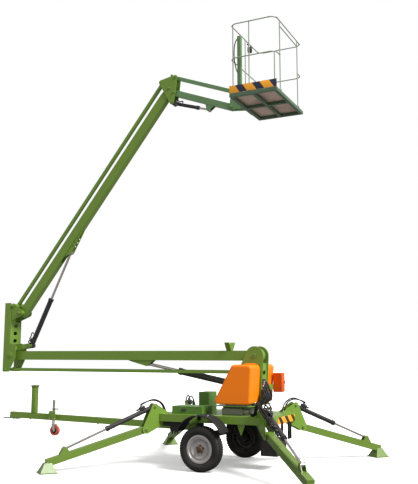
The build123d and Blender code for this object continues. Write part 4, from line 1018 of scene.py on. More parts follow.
    @staticmethod
    def grown(
        name: str, host: bpy.types.Mesh, tree: Tree, inputs: dict[str, Any], place: Matrix | None = None
    ) -> Piece:
        """Runs a Geometry Nodes tree over a host mesh and keeps the plain result.

        Args:
            name: The result's name.
            host: Points or edges that the tree grows on.
            tree: The tree to run.
            inputs: Input name to value.
            place: Where the result goes, kept in its mesh.

        Returns:
            An object with a plain mesh and no modifier.
        """
        base = shown(name + "_host", host)
        modifier = base.modifiers.new("grow", "NODES")
        modifier.node_group = tree
        sockets = {s.name: s.identifier for s in tree.interface.items_tree if s.in_out == "INPUT"}
        for key, value in inputs.items():
            modifier[sockets[key]] = value
        graph = bpy.context.evaluated_depsgraph_get()
        mesh = bpy.data.meshes.new_from_object(base.evaluated_get(graph), depsgraph=graph)
        bpy.data.objects.remove(base)
        mesh.name = name
        if place is not None:
            mesh.transform(place)
        return shown(name, mesh)

    def bolts(
        self,
        name: str,
        body: str,
        places: Iterable[tuple[Sequence[float], Vector]],
        radius: float,
        finish: Finish = STEEL,
        style: Style = Style.HEX,
    ) -> None:
        """Sets bolt heads, all in one piece.

        Args:
            name: The piece's name.
            body: The body they ride on.
            places: Foot and outward axis of each.
            radius: Across the head's corners, halved.
            finish: Their finish.
            style: Hexagon or round heads.
        """
        feet, axes = zip(*places)
        host = bpy.data.meshes.new(name)
        host.from_pydata(feet, [], [])
        ways = host.attributes.new("axis", "FLOAT_VECTOR", "POINT")
        for index, axis in enumerate(axes):
            ways.data[index].vector = axis.normalized()
        tall, wide, thin = self.bolt_shares
        inputs = {
            "Head Sides": style.value,
            "Head Radius": radius,
            "Head Height": radius * tall,
            "Washer Radius": radius * wide,
            "Washer Height": radius * thin,
            "Material": self.finisher.material(finish),
        }
        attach(self.grown(name, host, self.trees.bolts, inputs), body)
        LOG.info("bolts %s: %d on %s", name, len(feet), body)

    def pipes(
        self,
        name: str,
        body: str,
        runs: Sequence[Sequence[Sequence[float]]],
        radius: float,
        finish: Finish = HOSE,
        ends: Finish = STEEL,
        ferrule: float = 3.6,
    ) -> Piece:
        """Runs smooth tubes or hoses through points.

        Args:
            name: The piece's name.
            body: The body they ride on, or nothing to leave them on no body.
            runs: The points of each.
            radius: Their radius.
            finish: Their finish.
            ends: Finish of the ferrules.
            ferrule: Ferrule length in radii.

        Returns:
            One piece with every tube.
        """
        host = bpy.data.meshes.new(name)
        points: list[tuple[float, ...]] = []
        edges: list[tuple[int, int]] = []
        for run in runs:
            edges += [(len(points) + k, len(points) + k + 1) for k in range(len(run) - 1)]
            points += [tuple(p) for p in run]
        host.from_pydata(points, edges, [])
        inputs = {
            "Radius": radius,
            "Ferrule Radius": radius * self.ferrule_share,
            "Ferrule Length": radius * ferrule,
            "Material": self.finisher.material(finish),
            "Ferrule Material": self.finisher.material(ends),
        }
        made = self.grown(name, host, self.trees.pipes, inputs)
        if body:
            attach(made, body)
        LOG.info("pipes %s: %d on %s", name, len(runs), body)
        return made


@dataclass
class RoadWheel(Gear):
    """Tyre with its tread, rim, wheel nuts, hub cap and valve."""

    side: str
    radius: float = 0.315
    half_width: float = 0.0875
    seat_radius: float = 0.1783
    tread_depth: float = 0.008
    tread_sink: float = 0.0005
    block_count: int = 54
    block_size: Pair = (0.026, 0.021)
    row_step: float = 0.0252
    nut_count: int = 5
    nut_circle: float = 0.052
    nut_radius: float = 0.0105
    dish: float = 0.04
    face: float = 0.074
    valve_at: Point = (0.112, 0.036, 0.096)
    cap: Profile = ((0.03, 0.0), (0.03, 0.01), (0.026, 0.013), (0.012, 0.0145), (0.0, 0.0145))
    collar: Profile = ((0.034, -0.002), (0.034, 0.003), (0.031, 0.004))
    valve: Profile = ((0.0045, 0.0), (0.0045, 0.022), (0.006, 0.024), (0.006, 0.034), (0.004, 0.036), (0.0, 0.036))
    # from the rim's back round its lip to the hub
    rim: Profile = (
        (0.062, -0.067), (0.08, 0.004), (0.118, 0.006), (0.16, 0.046), (0.17, 0.03), (0.17, -0.075),
        (0.194, -0.075), (0.196, -0.073), (0.196, -0.067), (0.178, -0.067), (0.178, 0.067), (0.196, 0.067),
        (0.196, 0.073), (0.194, 0.075), (0.172, 0.075), (0.168, 0.07), (0.162, 0.06), (0.13, 0.059),
        (0.126, 0.056), (0.12, 0.042), (0.112, 0.034), (0.104, 0.03), (0.082, 0.03), (0.066, 0.039),
        (0.06, 0.04), (0.037, 0.04), (0.035, 0.075), (0.0, 0.075),
    )

    def section(self) -> list[Pair]:
        """Draws the tyre's section, from the inner bead round to the outer.

        Returns:
            Radius and offset of each corner of a closed section.
        """
        r, w = self.radius - self.tread_depth, self.half_width
        wall = [(self.seat_radius, 0.066), (0.2005, 0.0665), (0.206, 0.074), (0.222, 0.0795), (0.226, 0.0825)]
        shoulder = [(0.246, w - 0.001), (0.262, w), (0.282, w - 0.003), (0.29, w - 0.0065), (0.292, w - 0.0065)]
        crown = [(r - 0.006, w - 0.016), (r, 0.058)]
        groove = [(r, 0.0445), (r - 0.003, 0.0435), (r - 0.003, 0.0405), (r, 0.0395), (r + 0.0015, 0.0)]
        half = wall + shoulder + crown + groove
        return half + [(a, -b) for a, b in reversed(half[:-1])]

    def build(self) -> None:
        """Builds the wheel's pieces."""
        body, out = f"wheel_{self.side}", SIDES[self.side]
        centre, outward = box(f"tyre_{self.side}").mid, ACROSS * out
        self.turned(self.section(), centre, ACROSS, 72, True)
        self.stand_in(f"{self.side}_tyre_carcass", body, TYRE, f"tyre_{self.side}")
        inputs = {
            "Count": self.block_count,
            "Radius": self.radius - self.tread_depth / 2 - self.tread_sink,
            "Block": (self.tread_depth, *self.block_size),
            "Row Step": self.row_step,
            "Material": self.finisher.material(TYRE),
        }
        lay = Matrix.Translation(centre) @ Matrix.Rotation(math.pi / 2, 4, "X")
        host = bpy.data.meshes.new("tread")
        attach(self.grown(f"{self.side}_tyre_tread", host, self.trees.tread, inputs, lay), body)
        self.turned(self.rim, centre, outward, 64)
        self.stand_in(f"{self.side}_rim_dish", body, RIM_SILVER, f"rim_{self.side}")
        feet = self.around(centre + outward * self.dish, self.nut_circle, self.nut_count, 0.25, ALONG, UP)
        self.bolts(f"{self.side}_wheel_nuts", body, [(foot, outward) for foot in feet], self.nut_radius, RUST)
        for profile in (self.cap, self.collar):
            self.turned(profile, centre + outward * self.face, outward)
        self.piece(f"{self.side}_hub_cap", body, RUST)
        x, y, z = self.valve_at
        self.turned(self.valve, centre + Vector((x, y * out, z)), outward, 12)
        self.piece(f"{self.side}_tyre_valve", body, HOSE)


@dataclass
class PinEnds(Gear):
    """Caps and keeper bolts on the ends of the pivot pins."""

    # joint, radius of the cap
    caps: tuple[tuple[str, float], ...] = (
        ("lower_boom_lift", 0.036), ("lower_tie_turn", 0.024), ("mast_level", 0.03),
        ("lift_barrel_turn", 0.026), ("upper_boom_lift", 0.03), ("upper_tie_turn", 0.024),
        ("head_level", 0.024), ("upper_barrel_turn", 0.024), ("jib_lift", 0.022),
        ("jib_tie_turn", 0.022), ("platform_level", 0.022), ("jib_barrel_turn", 0.018),
    )
    leg_cap: float = 0.026
    leg_barrel_cap: float = 0.018
    reach: float = 1.2
    sight_rise: float = 0.004
    furthest: float = 0.3
    # share of the cap's radius, height
    cap: Profile = ((1.0, -0.001), (1.0, 0.004), (0.9, 0.0055), (0.42, 0.0055), (0.38, 0.004), (0.0, 0.004))
    bolt_foot: float = 0.004
    bolt_radius: float = 0.0075

    def build(self) -> None:
        """Builds the caps, one piece for each body."""
        found: dict[str, list[tuple[Vector, Vector, float]]] = {}
        legs = [(f"leg_fold_{c}", self.leg_cap) for c in CORNERS]
        barrels = [(f"leg_barrel_turn_{c}", self.leg_barrel_cap) for c in CORNERS]
        for name, radius in (*self.caps, *legs, *barrels):
            middle, axis = self.part.pivot(name), self.part.way(name)
            for sign in SIGNS:
                met = self.part.touch(middle + axis * sign * self.reach + UP * self.sight_rise, -axis * sign)
                if met is None or (met[0] - middle).length > self.furthest:
                    continue
                foot = middle + axis * (met[0] - middle).dot(axis)
                found.setdefault(met[1], []).append((foot, axis * sign, radius))
        for body, places in found.items():
            for foot, way, radius in places:
                self.turned([(radius * share, height) for share, height in self.cap], foot, way, 24)
            self.piece(f"{body}_pin_caps", body, GREEN)
            feet = [(foot + way * self.bolt_foot, way) for foot, way, _ in places]
            self.bolts(f"{body}_pin_bolts", body, feet, self.bolt_radius)


@dataclass
class OutriggerGear(Gear):
    """Valve block, hoses and bands of one outrigger's cylinder."""

    corner: str
    block_at: float = 0.175
    tube_radius: float = 0.034
    tube_length: float = 0.79
    valve_body: Point = (0.085, 0.062, 0.046)
    valve_foot: Point = (0.03, 0.078, 0.01)
    spool: Profile = ((0.013, 0.0), (0.013, 0.05), (0.009, 0.056), (0.0, 0.056))
    band: Profile = ((0.0338, 0.0), (0.0362, 0.001), (0.0362, 0.011), (0.0338, 0.012))
    band_shares: Pair = (0.3, 0.62)
    hose_radius: float = 0.0105
    hose_gap: float = 0.04
    hose_start: float = 0.7575
    side_corner: str = "rear_near"
    side_radius: float = 0.0135
    side_start: float = 0.768
    # height over the bundle's middle, distance out, length along the cylinder
    side_hoses: tuple[Point, ...] = (
        (0.0, 0.0, 0.6), (0.022, 0.006, 0.54), (-0.022, 0.004, 0.66), (0.006, 0.023, 0.48)
    )
    clip: Point = (0.02, 0.062, 0.066)
    clip_places: Pair = (0.28, 0.46)

    def __post_init__(self) -> None:
        """Finds the cylinder's upper pin and directions."""
        super().__post_init__()
        self.body = f"outrigger_barrel_{self.corner}"
        self.top = self.part.pivot(f"leg_barrel_turn_{self.corner}")
        self.way = self.part.way(f"leg_rod_slide_{self.corner}")
        self.across = self.part.way(f"leg_barrel_turn_{self.corner}")
        self.out = Vector((self.way.x, self.way.y, 0.0)).normalized()
        self.rise, self.basis = lifted(self.way, self.across)

    def build(self) -> None:
        """Builds the fittings of this corner."""
        top, way, rise = self.top, self.way, self.rise
        foot = top + way * self.block_at + rise * self.tube_radius
        self.block(foot + rise * 0.02, self.valve_body, 0.004, self.basis)
        self.turned(self.spool, foot + rise * 0.02 + way * 0.04, way, 16)
        self.block(foot - way * 0.012 - rise * 0.006, self.valve_foot, 0.002, self.basis)
        self.piece(f"{self.corner}_valve_block", self.body, BLACK)
        for share in self.band_shares:
            self.turned(self.band, top + way * self.tube_length * share, way, 24, True)
        self.piece(f"{self.corner}_barrel_bands", self.body, BLACK)
        runs = [self.hose(foot, sign) for sign in SIGNS]
        arc = self.pipes(f"{self.corner}_leg_hoses", "", runs, self.hose_radius)
        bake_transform(arc)
        if self.corner == self.side_corner:
            self.side_bundle()

    def hose(self, foot: Vector, sign: float) -> list[Vector]:
        """Lays one hose from the deck, in an arc over the pin, down to the valve block.

        Args:
            foot: Foot of the valve block.
            sign: Which of the two hoses.

        Returns:
            Its points.
        """
        top, out, shift = self.top, self.out, self.across * sign * self.hose_gap / 2
        inlet = foot + self.rise * 0.045 + shift
        start = top - out * 0.175 + shift * 1.6
        start.z = self.hose_start
        crown = top + shift * 1.3 + UP * (0.092 + 0.006 * sign)
        return [
            start,
            start + UP * 0.055,
            top - out * 0.125 + shift * 1.5 + UP * 0.045,
            crown - out * 0.035,
            crown + out * 0.055,
            inlet + self.rise * 0.03 - self.way * 0.02,
            inlet,
        ]

    def side_bundle(self) -> None:
        """Builds the bundle that runs from the deck down along this cylinder, with its clips."""
        top, way, across, rise, out = self.top, self.way, self.across, self.rise, self.out
        runs = []
        for k, (up, span, length) in enumerate(self.side_hoses):
            edge = across * (-0.047 - span) + rise * (0.012 + up)
            start = top - out * 0.34 + across * (-0.075 - span)
            start.z = self.side_start + 0.004 * k
            runs.append(
                [
                    start,
                    start + out * 0.13 + UP * 0.02,
                    top - out * 0.1 + across * (-0.088 - span) + UP * (0.035 + up),
                    top + across * (-0.09 - span) + UP * (0.06 + up),
                    top + way * 0.13 + edge * 1.4,
                    top + way * 0.3 + edge,
                    top + way * (length - 0.06) + edge,
                    top + way * length + edge,
                ]
            )
        bundle = self.pipes("leg_side_hoses", "", runs, self.side_radius, HOSE, BLACK)
        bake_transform(bundle)
        for place in self.clip_places:
            centre = top + way * place - across * 0.05 + rise * 0.01
            self.block(centre, self.clip, 0.004, self.basis)
        self.piece("leg_hose_clips", self.body, DARK_PLASTIC)


@dataclass
class TurretGear(Gear):
    """Slew bolts, rear hose bundle, control box fittings, fins, tank cap and slewing motor cap."""

    ring_bolts: int = 20
    ring_radius: float = 0.272
    ring_clear: float = 0.16
    ring_bolt: float = 0.011
    hose_radius: float = 0.0145
    # start height, start across, bulge back, bulge across, end across
    hoses: tuple[tuple[float, float, float, float, float], ...] = (
        (1.215, -0.05, 0.752, -0.105, -0.15), (1.19, -0.075, 0.738, -0.135, -0.175),
        (1.17, -0.04, 0.764, -0.08, -0.125), (1.15, -0.085, 0.728, -0.16, -0.2),
        (1.13, -0.06, 0.745, -0.115, -0.225), (1.105, -0.03, 0.766, -0.06, -0.1),
        (1.085, -0.08, 0.722, -0.15, -0.25), (1.205, -0.015, 0.77, -0.03, -0.075),
        (1.16, -0.1, 0.734, -0.19, -0.215), (1.12, -0.11, 0.716, -0.205, -0.24),
    )
    # place and size of the lower and the upper manifold
    manifolds: tuple[tuple[Point, Point], ...] = (
        ((0.572, -0.165, 0.924), (0.05, 0.24, 0.055)), ((0.663, -0.06, 1.185), (0.026, 0.11, 0.17))
    )
    port_face: float = 0.676
    ports: tuple[Pair, ...] = ((-0.088, 1.22), (-0.022, 1.215), (-0.045, 1.15), (-0.1, 1.135))
    port_radius: float = 0.011
    valves: tuple[Pair, ...] = ((-0.06, 1.195), (-0.104, 1.18))
    valve_radius: float = 0.013
    door_sheet: float = 0.008
    door_share: Pair = (0.9, 0.93)
    hinge: Profile = ((0.006, -0.02), (0.006, 0.02))
    handle: Point = (0.012, 0.014, 0.045)
    fin_count: int = 12
    fin_inset: float = 0.03
    fin_sheet: Pair = (0.004, 0.012)
    fin_share: float = 0.8
    filler: Profile = ((0.026, -0.001), (0.026, 0.012), (0.032, 0.014), (0.032, 0.03), (0.028, 0.034), (0.0, 0.034))
    # ahead of the slewing axis, across, height
    motor_end: Point = (0.246, -0.325, 0.808)
    motor_cap: Profile = (
        (0.036, -0.002), (0.043, 0.0), (0.043, 0.012), (0.034, 0.016), (0.022, 0.016), (0.02, 0.012), (0.0, 0.012)
    )
    motor_bolts: int = 6
    motor_circle: float = 0.03
    motor_bolt: float = 0.0045
    worm_top: float = 0.852
    worm_middle: float = 0.3
    worm_steps: Point = (-0.16, -0.02, 0.12)
    worm_rows: Pair = (-0.35, -0.305)

    def build(self) -> None:
        """Builds the turret's fittings."""
        middle = self.part.pivot("slew")
        middle.z = box("turntable").high.z
        feet = self.around(middle, self.ring_radius, self.ring_bolts, 0.5, ALONG, ACROSS)
        places = [(foot, UP) for foot in feet if abs(foot.y) > self.ring_clear]
        self.bolts("slew_bolts", "turret", places, self.ring_bolt, ZINC)
        self.hose_bundle()
        self.control_box()
        self.power_pack()
        self.slew_drive()

    def hose_bundle(self) -> None:
        """Builds the thick bundle of hoses behind the turret, with its fittings."""
        at = self.part.at
        runs = [
            [
                at(0.66, y0, height),
                at(0.695, y0, height + 0.01),
                at(back - 0.045, (y0 + y1) / 2, height - 0.055),
                at(back - 0.006, y1, (height + 1.0) / 2 - 0.03),
                at(back, y1, 1.0),
                at(back - 0.05, (y1 + y2) / 2, 0.94),
                at(0.64, y2, 0.925),
                at(0.59, y2, 0.925),
            ]
            for height, y0, back, y1, y2 in self.hoses
        ]
        self.pipes("turret_hoses", "turret", runs, self.hose_radius)
        for place, size in self.manifolds:
            self.block(at(*place), size, 0.004)
        self.piece("turret_manifold", "turret", BLACK)
        ports = [(at(self.port_face, y, z), ALONG) for y, z in self.ports]
        self.bolts("turret_fittings", "turret", ports, self.port_radius, BRASS)
        valves = [(at(self.port_face, y, z), ALONG) for y, z in self.valves]
        self.bolts("turret_valve_caps", "turret", valves, self.valve_radius, RED, Style.ROUND)

    def control_box(self) -> None:
        """Builds the ground control box's door, hinges and handle."""
        low, high, mid = box("control_box")
        size, front = high - low, high.x + self.door_sheet / 2
        wide, tall = self.door_share
        self.block((front, mid.y, mid.z), (self.door_sheet, size.y * wide, size.z * tall), 0.003)
        # The door takes the darker orange of painted shade
        self.piece("control_box_door", "turret", SHADED_ORANGE)
        for share in (0.2, 0.8):
            self.turned(self.hinge, (front, low.y + 0.006, low.z + size.z * share), UP, 12)
        self.block((high.x + 0.012, high.y - 0.018, mid.z), self.handle, 0.003)
        self.piece("control_box_hardware", "turret", STEEL)

    def power_pack(self) -> None:
        """Builds the fins of the power unit and the filler cap of the tank."""
        low, high, mid = box("power_unit")
        inputs = {
            "Count": self.fin_count,
            "Step": ((high.x - low.x - 2 * self.fin_inset) / (self.fin_count - 1), 0.0, 0.0),
            "Slat": (*self.fin_sheet, (high.z - low.z) * self.fin_share),
            "Tilt": (0.0, 0.0, 0.0),
            "Material": self.finisher.material(CAST_GREY),
        }
        place = Matrix.Translation((low.x + self.fin_inset, low.y - self.fin_sheet[0], mid.z))
        host = bpy.data.meshes.new("fins")
        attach(self.grown("power_unit_fins", host, self.trees.louvres, inputs, place), "turret")
        _, high, mid = box("hydraulic_tank")
        self.turned(self.filler, (high.x - 0.06, mid.y, high.z), UP)
        self.piece("tank_cap", "turret", DARK_PLASTIC)

    def slew_drive(self) -> None:
        """Builds the end cap of the slewing motor, and the bolts of the motor and worm housing."""
        x, y, z = self.motor_end
        centre = Vector((self.part.pivot("slew").x + x, y, z))
        self.turned(self.motor_cap, centre, ALONG)
        self.piece("slew_motor_cap", "chassis", BLACK)
        face = centre + ALONG * 0.0135
        feet = self.around(face, self.motor_circle, self.motor_bolts, 0.0, ACROSS, UP)
        self.bolts("slew_motor_bolts", "chassis", [(foot, ALONG) for foot in feet], self.motor_bolt, ZINC)
        rows = [(dx, y) for dx in self.worm_steps for y in self.worm_rows]
        feet = [(self.part.at(self.worm_middle + dx, y, self.worm_top), UP) for dx, y in rows]
        self.bolts("worm_bolts", "chassis", feet, 0.008)


@dataclass
class DeckGear(Gear):
    """Rear plate and posts, junction, valve bank, toolbox latch, drawbar, jockey and mudguards."""

    stripe: Point = (0.003, 0.8, 0.1)
    stripe_at: Pair = (0.19, 0.68)
    sight: Point = (3.4, 0.0, 0.7)
    post: Point = (0.026, 0.03, 0.27)
    post_inset: float = 0.02
    post_places: Pair = (0.31, 0.395)
    post_height: float = 0.515
    tie: Point = (0.036, 0.12, 0.014)
    tie_height: float = 0.64
    junction: Point = (1.885, -0.44, 0.8)
    junction_size: Point = (0.07, 0.11, 0.086)
    union: Profile = ((0.012, -0.001), (0.012, 0.01), (0.008, 0.012), (0.008, 0.022), (0.0, 0.022))
    union_count: int = 4
    union_step: float = 0.024
    junction_hose: float = 0.011
    # middle and size of the bank and of its valve
    bank: tuple[tuple[Point, Point], ...] = (
        ((0.395, -0.505, 0.612), (0.43, 0.08, 0.07)), ((0.515, -0.505, 0.545), (0.13, 0.075, 0.075))
    )
    bank_ports: Point = (0.47, 0.515, 0.56)
    bank_port_at: Pair = (-0.505, 0.512)
    bank_port: Profile = ((0.012, 0.0), (0.012, 0.03), (0.008, 0.034), (0.008, 0.052), (0.0, 0.052))
    latch_at: Pair = (0.4, 0.06)
    # distance proud of the toolbox, size, bevel
    latch: tuple[tuple[float, Point, float], ...] = (
        (0.006, (0.075, 0.014, 0.034), 0.004), (0.014, (0.03, 0.01, 0.018), 0.003)
    )
    pad: Point = (0.104, 0.104, 0.005)
    stud_places: Pair = (-3.665, -2.274)
    stud_across: float = -0.018
    eye_bolts: tuple[Pair, Pair] = ((0.235, 0.305), (-0.022, 0.022))
    clamp_height: float = 0.614
    clamp_shift: float = -0.012
    clamp_bolts: Pair = (0.055, 0.054)
    collar_height: float = 0.716
    collar: Profile = ((0.0255, -0.012), (0.029, -0.01), (0.029, 0.01), (0.0255, 0.012))
    lever: Profile = ((0.009, 0.0), (0.009, 0.055), (0.012, 0.058), (0.012, 0.105), (0.0, 0.11))
    lever_way: Point = (0.97, -0.2, 0.05)
    hub: Profile = ((0.05, -0.001), (0.048, 0.003), (0.024, 0.003), (0.022, 0.004), (0.01, 0.004))
    arch_radius: float = 0.379
    arch_height: float = 0.405
    arch_ends: Pair = (158.0, 22.0)
    arch_steps: int = 28
    # height over the arch's radius, distance across
    arch_edge: Profile = (
        (0.0, 0.64), (0.0, 0.9105), (-0.003, 0.9135), (-0.016, 0.9145),
        (-0.016, 0.911), (-0.006, 0.908), (-0.004, 0.906), (-0.004, 0.64),
    )
    bracket: Point = (0.006, 0.128, 0.07)
    bracket_at: Pair = (0.1, 0.665)

    def build(self) -> None:
        """Builds the chassis's fittings."""
        self.rear()
        self.junction_box()
        self.valve_bank()
        self.toolbox()
        self.drawbar()
        self.jockey()
        self.mudguards()

    def rear(self) -> None:
        """Builds the striped plate across the deck's rear edge and the posts under it."""
        edge = self.part.touch(Vector(self.sight), -ALONG)[0].x
        self.block((edge + self.stripe[0] / 2, *self.stripe_at), self.stripe, 0.001)
        self.piece("rear_warning_plate", "chassis", REAR_STRIPE)
        for y in self.post_places:
            self.block((edge - self.post_inset, y, self.post_height), self.post, 0.003)
        middle = sum(self.post_places) / 2
        self.block((edge - self.post_inset, middle, self.tie_height), self.tie, 0.003)
        self.piece("rear_posts", "chassis", UNDER_BLACK)

    def junction_box(self) -> None:
        """Builds the hose junction on the deck and its three short hoses."""
        x, y, z = self.junction
        top = z + self.junction_size[2] / 2
        self.block(self.junction, self.junction_size, 0.005)
        for k in range(self.union_count):
            start = y - (self.union_count - 1) * self.union_step / 2
            self.turned(self.union, (x, start + self.union_step * k, top), UP, 6)
        self.piece("deck_junction", "chassis", UNDER_BLACK)
        runs = [
            [
                (x + 0.03, y - 0.03 + 0.02 * k, 0.79 + 0.012 * k),
                (x + 0.075, y - 0.06, 0.792 + 0.014 * k),
                (x + 0.06, y - 0.125, 0.775 + 0.01 * k),
            ]
            for k in range(3)
        ]
        self.pipes("junction_hoses", "chassis", runs, self.junction_hose, ferrule=2.8)

    def valve_bank(self) -> None:
        """Builds the valve bank under the front of the deck."""
        for centre, size in self.bank:
            self.block(centre, size, 0.006)
        for x in self.bank_ports:
            self.turned(self.bank_port, (x, *self.bank_port_at), -UP, 12)
        self.piece("front_valve_bank", "chassis", UNDER_BLACK)

    def toolbox(self) -> None:
        """Builds the toolbox's latch."""
        low, high, _ = box("toolbox")
        share, rise = self.latch_at
        for proud, size, bevel in self.latch:
            self.block((low.x + (high.x - low.x) * share, low.y - proud, low.z + rise), size, bevel)
        self.piece("toolbox_latch", "chassis", DARK_PLASTIC)

    def drawbar(self) -> None:
        """Builds the rest's pad, the bolts under the drawbar and those of the tow eye."""
        _, high, mid = box("boom_rest")
        self.block((mid.x, mid.y, high.z - 0.003), self.pad, 0.002)
        self.piece("rest_pad", "chassis", HOSE)
        sights = [self.part.at(x, self.stud_across, 0.2) for x in self.stud_places]
        met = [self.part.touch(sight, UP) for sight in sights]
        self.bolts("drawbar_studs", "chassis", [(found[0], -UP) for found in met if found], 0.013, BLACK)
        low = box("tow_eye").low
        feet = [(Vector((low.x + x, y, low.z)), -UP) for x in self.eye_bolts[0] for y in self.eye_bolts[1]]
        self.bolts("tow_eye_bolts", "chassis", feet, 0.01, ZINC)

    def jockey(self) -> None:
        """Builds the jockey wheel's clamp plates, bolts, lever and wheel hub."""
        mid = box("jockey_leg").mid
        face, height = mid.y - 0.025, self.clamp_height
        x = mid.x + self.clamp_shift
        self.block((x, face - 0.004, height), (0.14, 0.008, 0.142), 0.002)
        self.block((mid.x - 0.055, face + 0.02, height), (0.03, 0.04, 0.12), 0.003)
        self.piece("jockey_clamp_plate", "chassis", GREEN)
        dx, dz = self.clamp_bolts
        feet = [(Vector((x + a * dx, face - 0.008, height + b * dz)), -ACROSS) for a in SIGNS for b in SIGNS]
        self.bolts("jockey_clamp_bolts", "chassis", feet, 0.008, ZINC)
        way = Vector(self.lever_way).normalized()
        self.turned(self.lever, (mid.x + 0.02, mid.y - 0.018, self.collar_height), way, 14)
        self.turned(self.collar, (mid.x, mid.y, self.collar_height), UP, 24)
        self.piece("jockey_lever", "chassis", STEEL)
        low, high, mid = box("jockey_wheel")
        for sign in SIGNS:
            face = mid.y + sign * (high.y - low.y) / 2
            self.turned(self.hub, (mid.x, face, mid.z), ACROSS * sign)
        self.piece("jockey_hub", "jockey_wheel", UNDER_BLACK)

    def mudguards(self) -> None:
        """Builds the arched mudguards with folded edges, their brackets and bolts."""
        bm, axle, rise = self.bm, box("mudguards").mid.x, self.arch_height
        start, end = self.arch_ends
        angles = [math.radians(start + (end - start) * k / self.arch_steps) for k in range(self.arch_steps + 1)]
        bolts = []
        for sign in SIGNS:
            rings = []
            for a in angles:
                edge = [(self.arch_radius + dr, sign * y) for dr, y in self.arch_edge]
                rings.append([bm.verts.new((axle + r * math.cos(a), y, rise + r * math.sin(a))) for r, y in edge])
            for here, there in zip(rings, rings[1:]):
                for k, m in zip(range(len(here)), [*range(1, len(here)), 0]):
                    bm.faces.new((here[k], here[m], there[m], there[k]))
            bm.faces.new(rings[0])
            bm.faces.new(list(reversed(rings[-1])))
            along, across = self.bracket_at
            top = rise + math.sqrt(self.arch_radius**2 - along**2) - 0.004
            for x in (axle - along, axle + along):
                self.block((x, sign * across, top - 0.038), self.bracket, 0.001)
                bolts.append((Vector((x, sign * 0.8, top + 0.004)), UP))
        self.stand_in("wheel_arches", "chassis", ARCH_BLACK, "mudguards")
        self.bolts("mudguard_bolts", "chassis", bolts, 0.008, ZINC)


@dataclass
class BoomGear(Gear):
    """Cylinder blocks and hoses, and the knob on the boom head."""

    # cylinder, hose side, block distance, loop distance, loop height
    cylinders: tuple[tuple[str, float, float, float, float], ...] = (
        ("upper", -0.056, 0.1, 0.22, 0.05), ("jib", -0.042, 0.09, 0.19, 0.036), ("lift", -0.064, 0.12, 0.3, 0.06)
    )
    port_block: Point = (0.07, 0.034, 0.05)
    spigot: Profile = ((0.01, 0.0), (0.01, 0.03), (0.0, 0.03))
    hose_radius: float = 0.0095
    knob: Profile = ((0.016, 0.0), (0.016, 0.04), (0.021, 0.044), (0.021, 0.066), (0.012, 0.078), (0.0, 0.08))
    knob_plate: Point = (0.05, 0.126, 0.008)

    def build(self) -> None:
        """Builds the fittings of the booms and jib."""
        for row in self.cylinders:
            self.cylinder(*row)
        low, high, _ = box("boom_head")
        x = low.x + (high.x - low.x) * 0.6
        self.turned(self.knob, (x, 0.0, high.z - 0.03), UP, 20)
        self.block((x, 0.0, high.z - 0.026), self.knob_plate, 0.002)
        # The knob takes the darker green of painted shade
        self.piece("head_knob", "boom_head", SHADED_BOX_GREEN)

    def cylinder(self, name: str, y: float, near: float, far: float, height: float) -> None:
        """Builds the port block and hoses of one boom cylinder.

        Args:
            name: The cylinder.
            y: How far to the side its block stands.
            near: Distance of the block from the base pin.
            far: Distance of the second port.
            height: Height of the hose loop.
        """
        body, side = f"{name}_barrel", ACROSS * y
        base, way = self.part.pivot(f"{name}_barrel_turn"), self.part.way(f"{name}_rod_slide")
        rise, basis = lifted(way, ACROSS)
        spot = base + way * near + side
        self.block(spot, self.port_block, 0.003, basis)
        self.turned(self.spigot, spot + way * 0.035, way, 12)
        self.piece(f"{name}_cylinder_block", body, BLACK)
        port = base + way * far + side * 0.85 + rise * 0.018
        loop = [
            spot + rise * 0.02,
            spot + rise * 0.055,
            base + way * (near * 0.6 + far * 0.4) + rise * height + side,
            port + rise * 0.033 + side * 0.3,
            port,
        ]
        tail = [
            spot - way * 0.035,
            spot - way * 0.052 + side * 0.2,
            spot - way * 0.062 + rise * 0.02 + side * 0.3,
            spot - way * 0.04 + rise * 0.05 + side * 0.2,
            spot + rise * 0.026 - way * 0.01,
        ]
        self.pipes(f"{name}_cylinder_hoses", body, [loop, tail], self.hose_radius, ferrule=3.2)


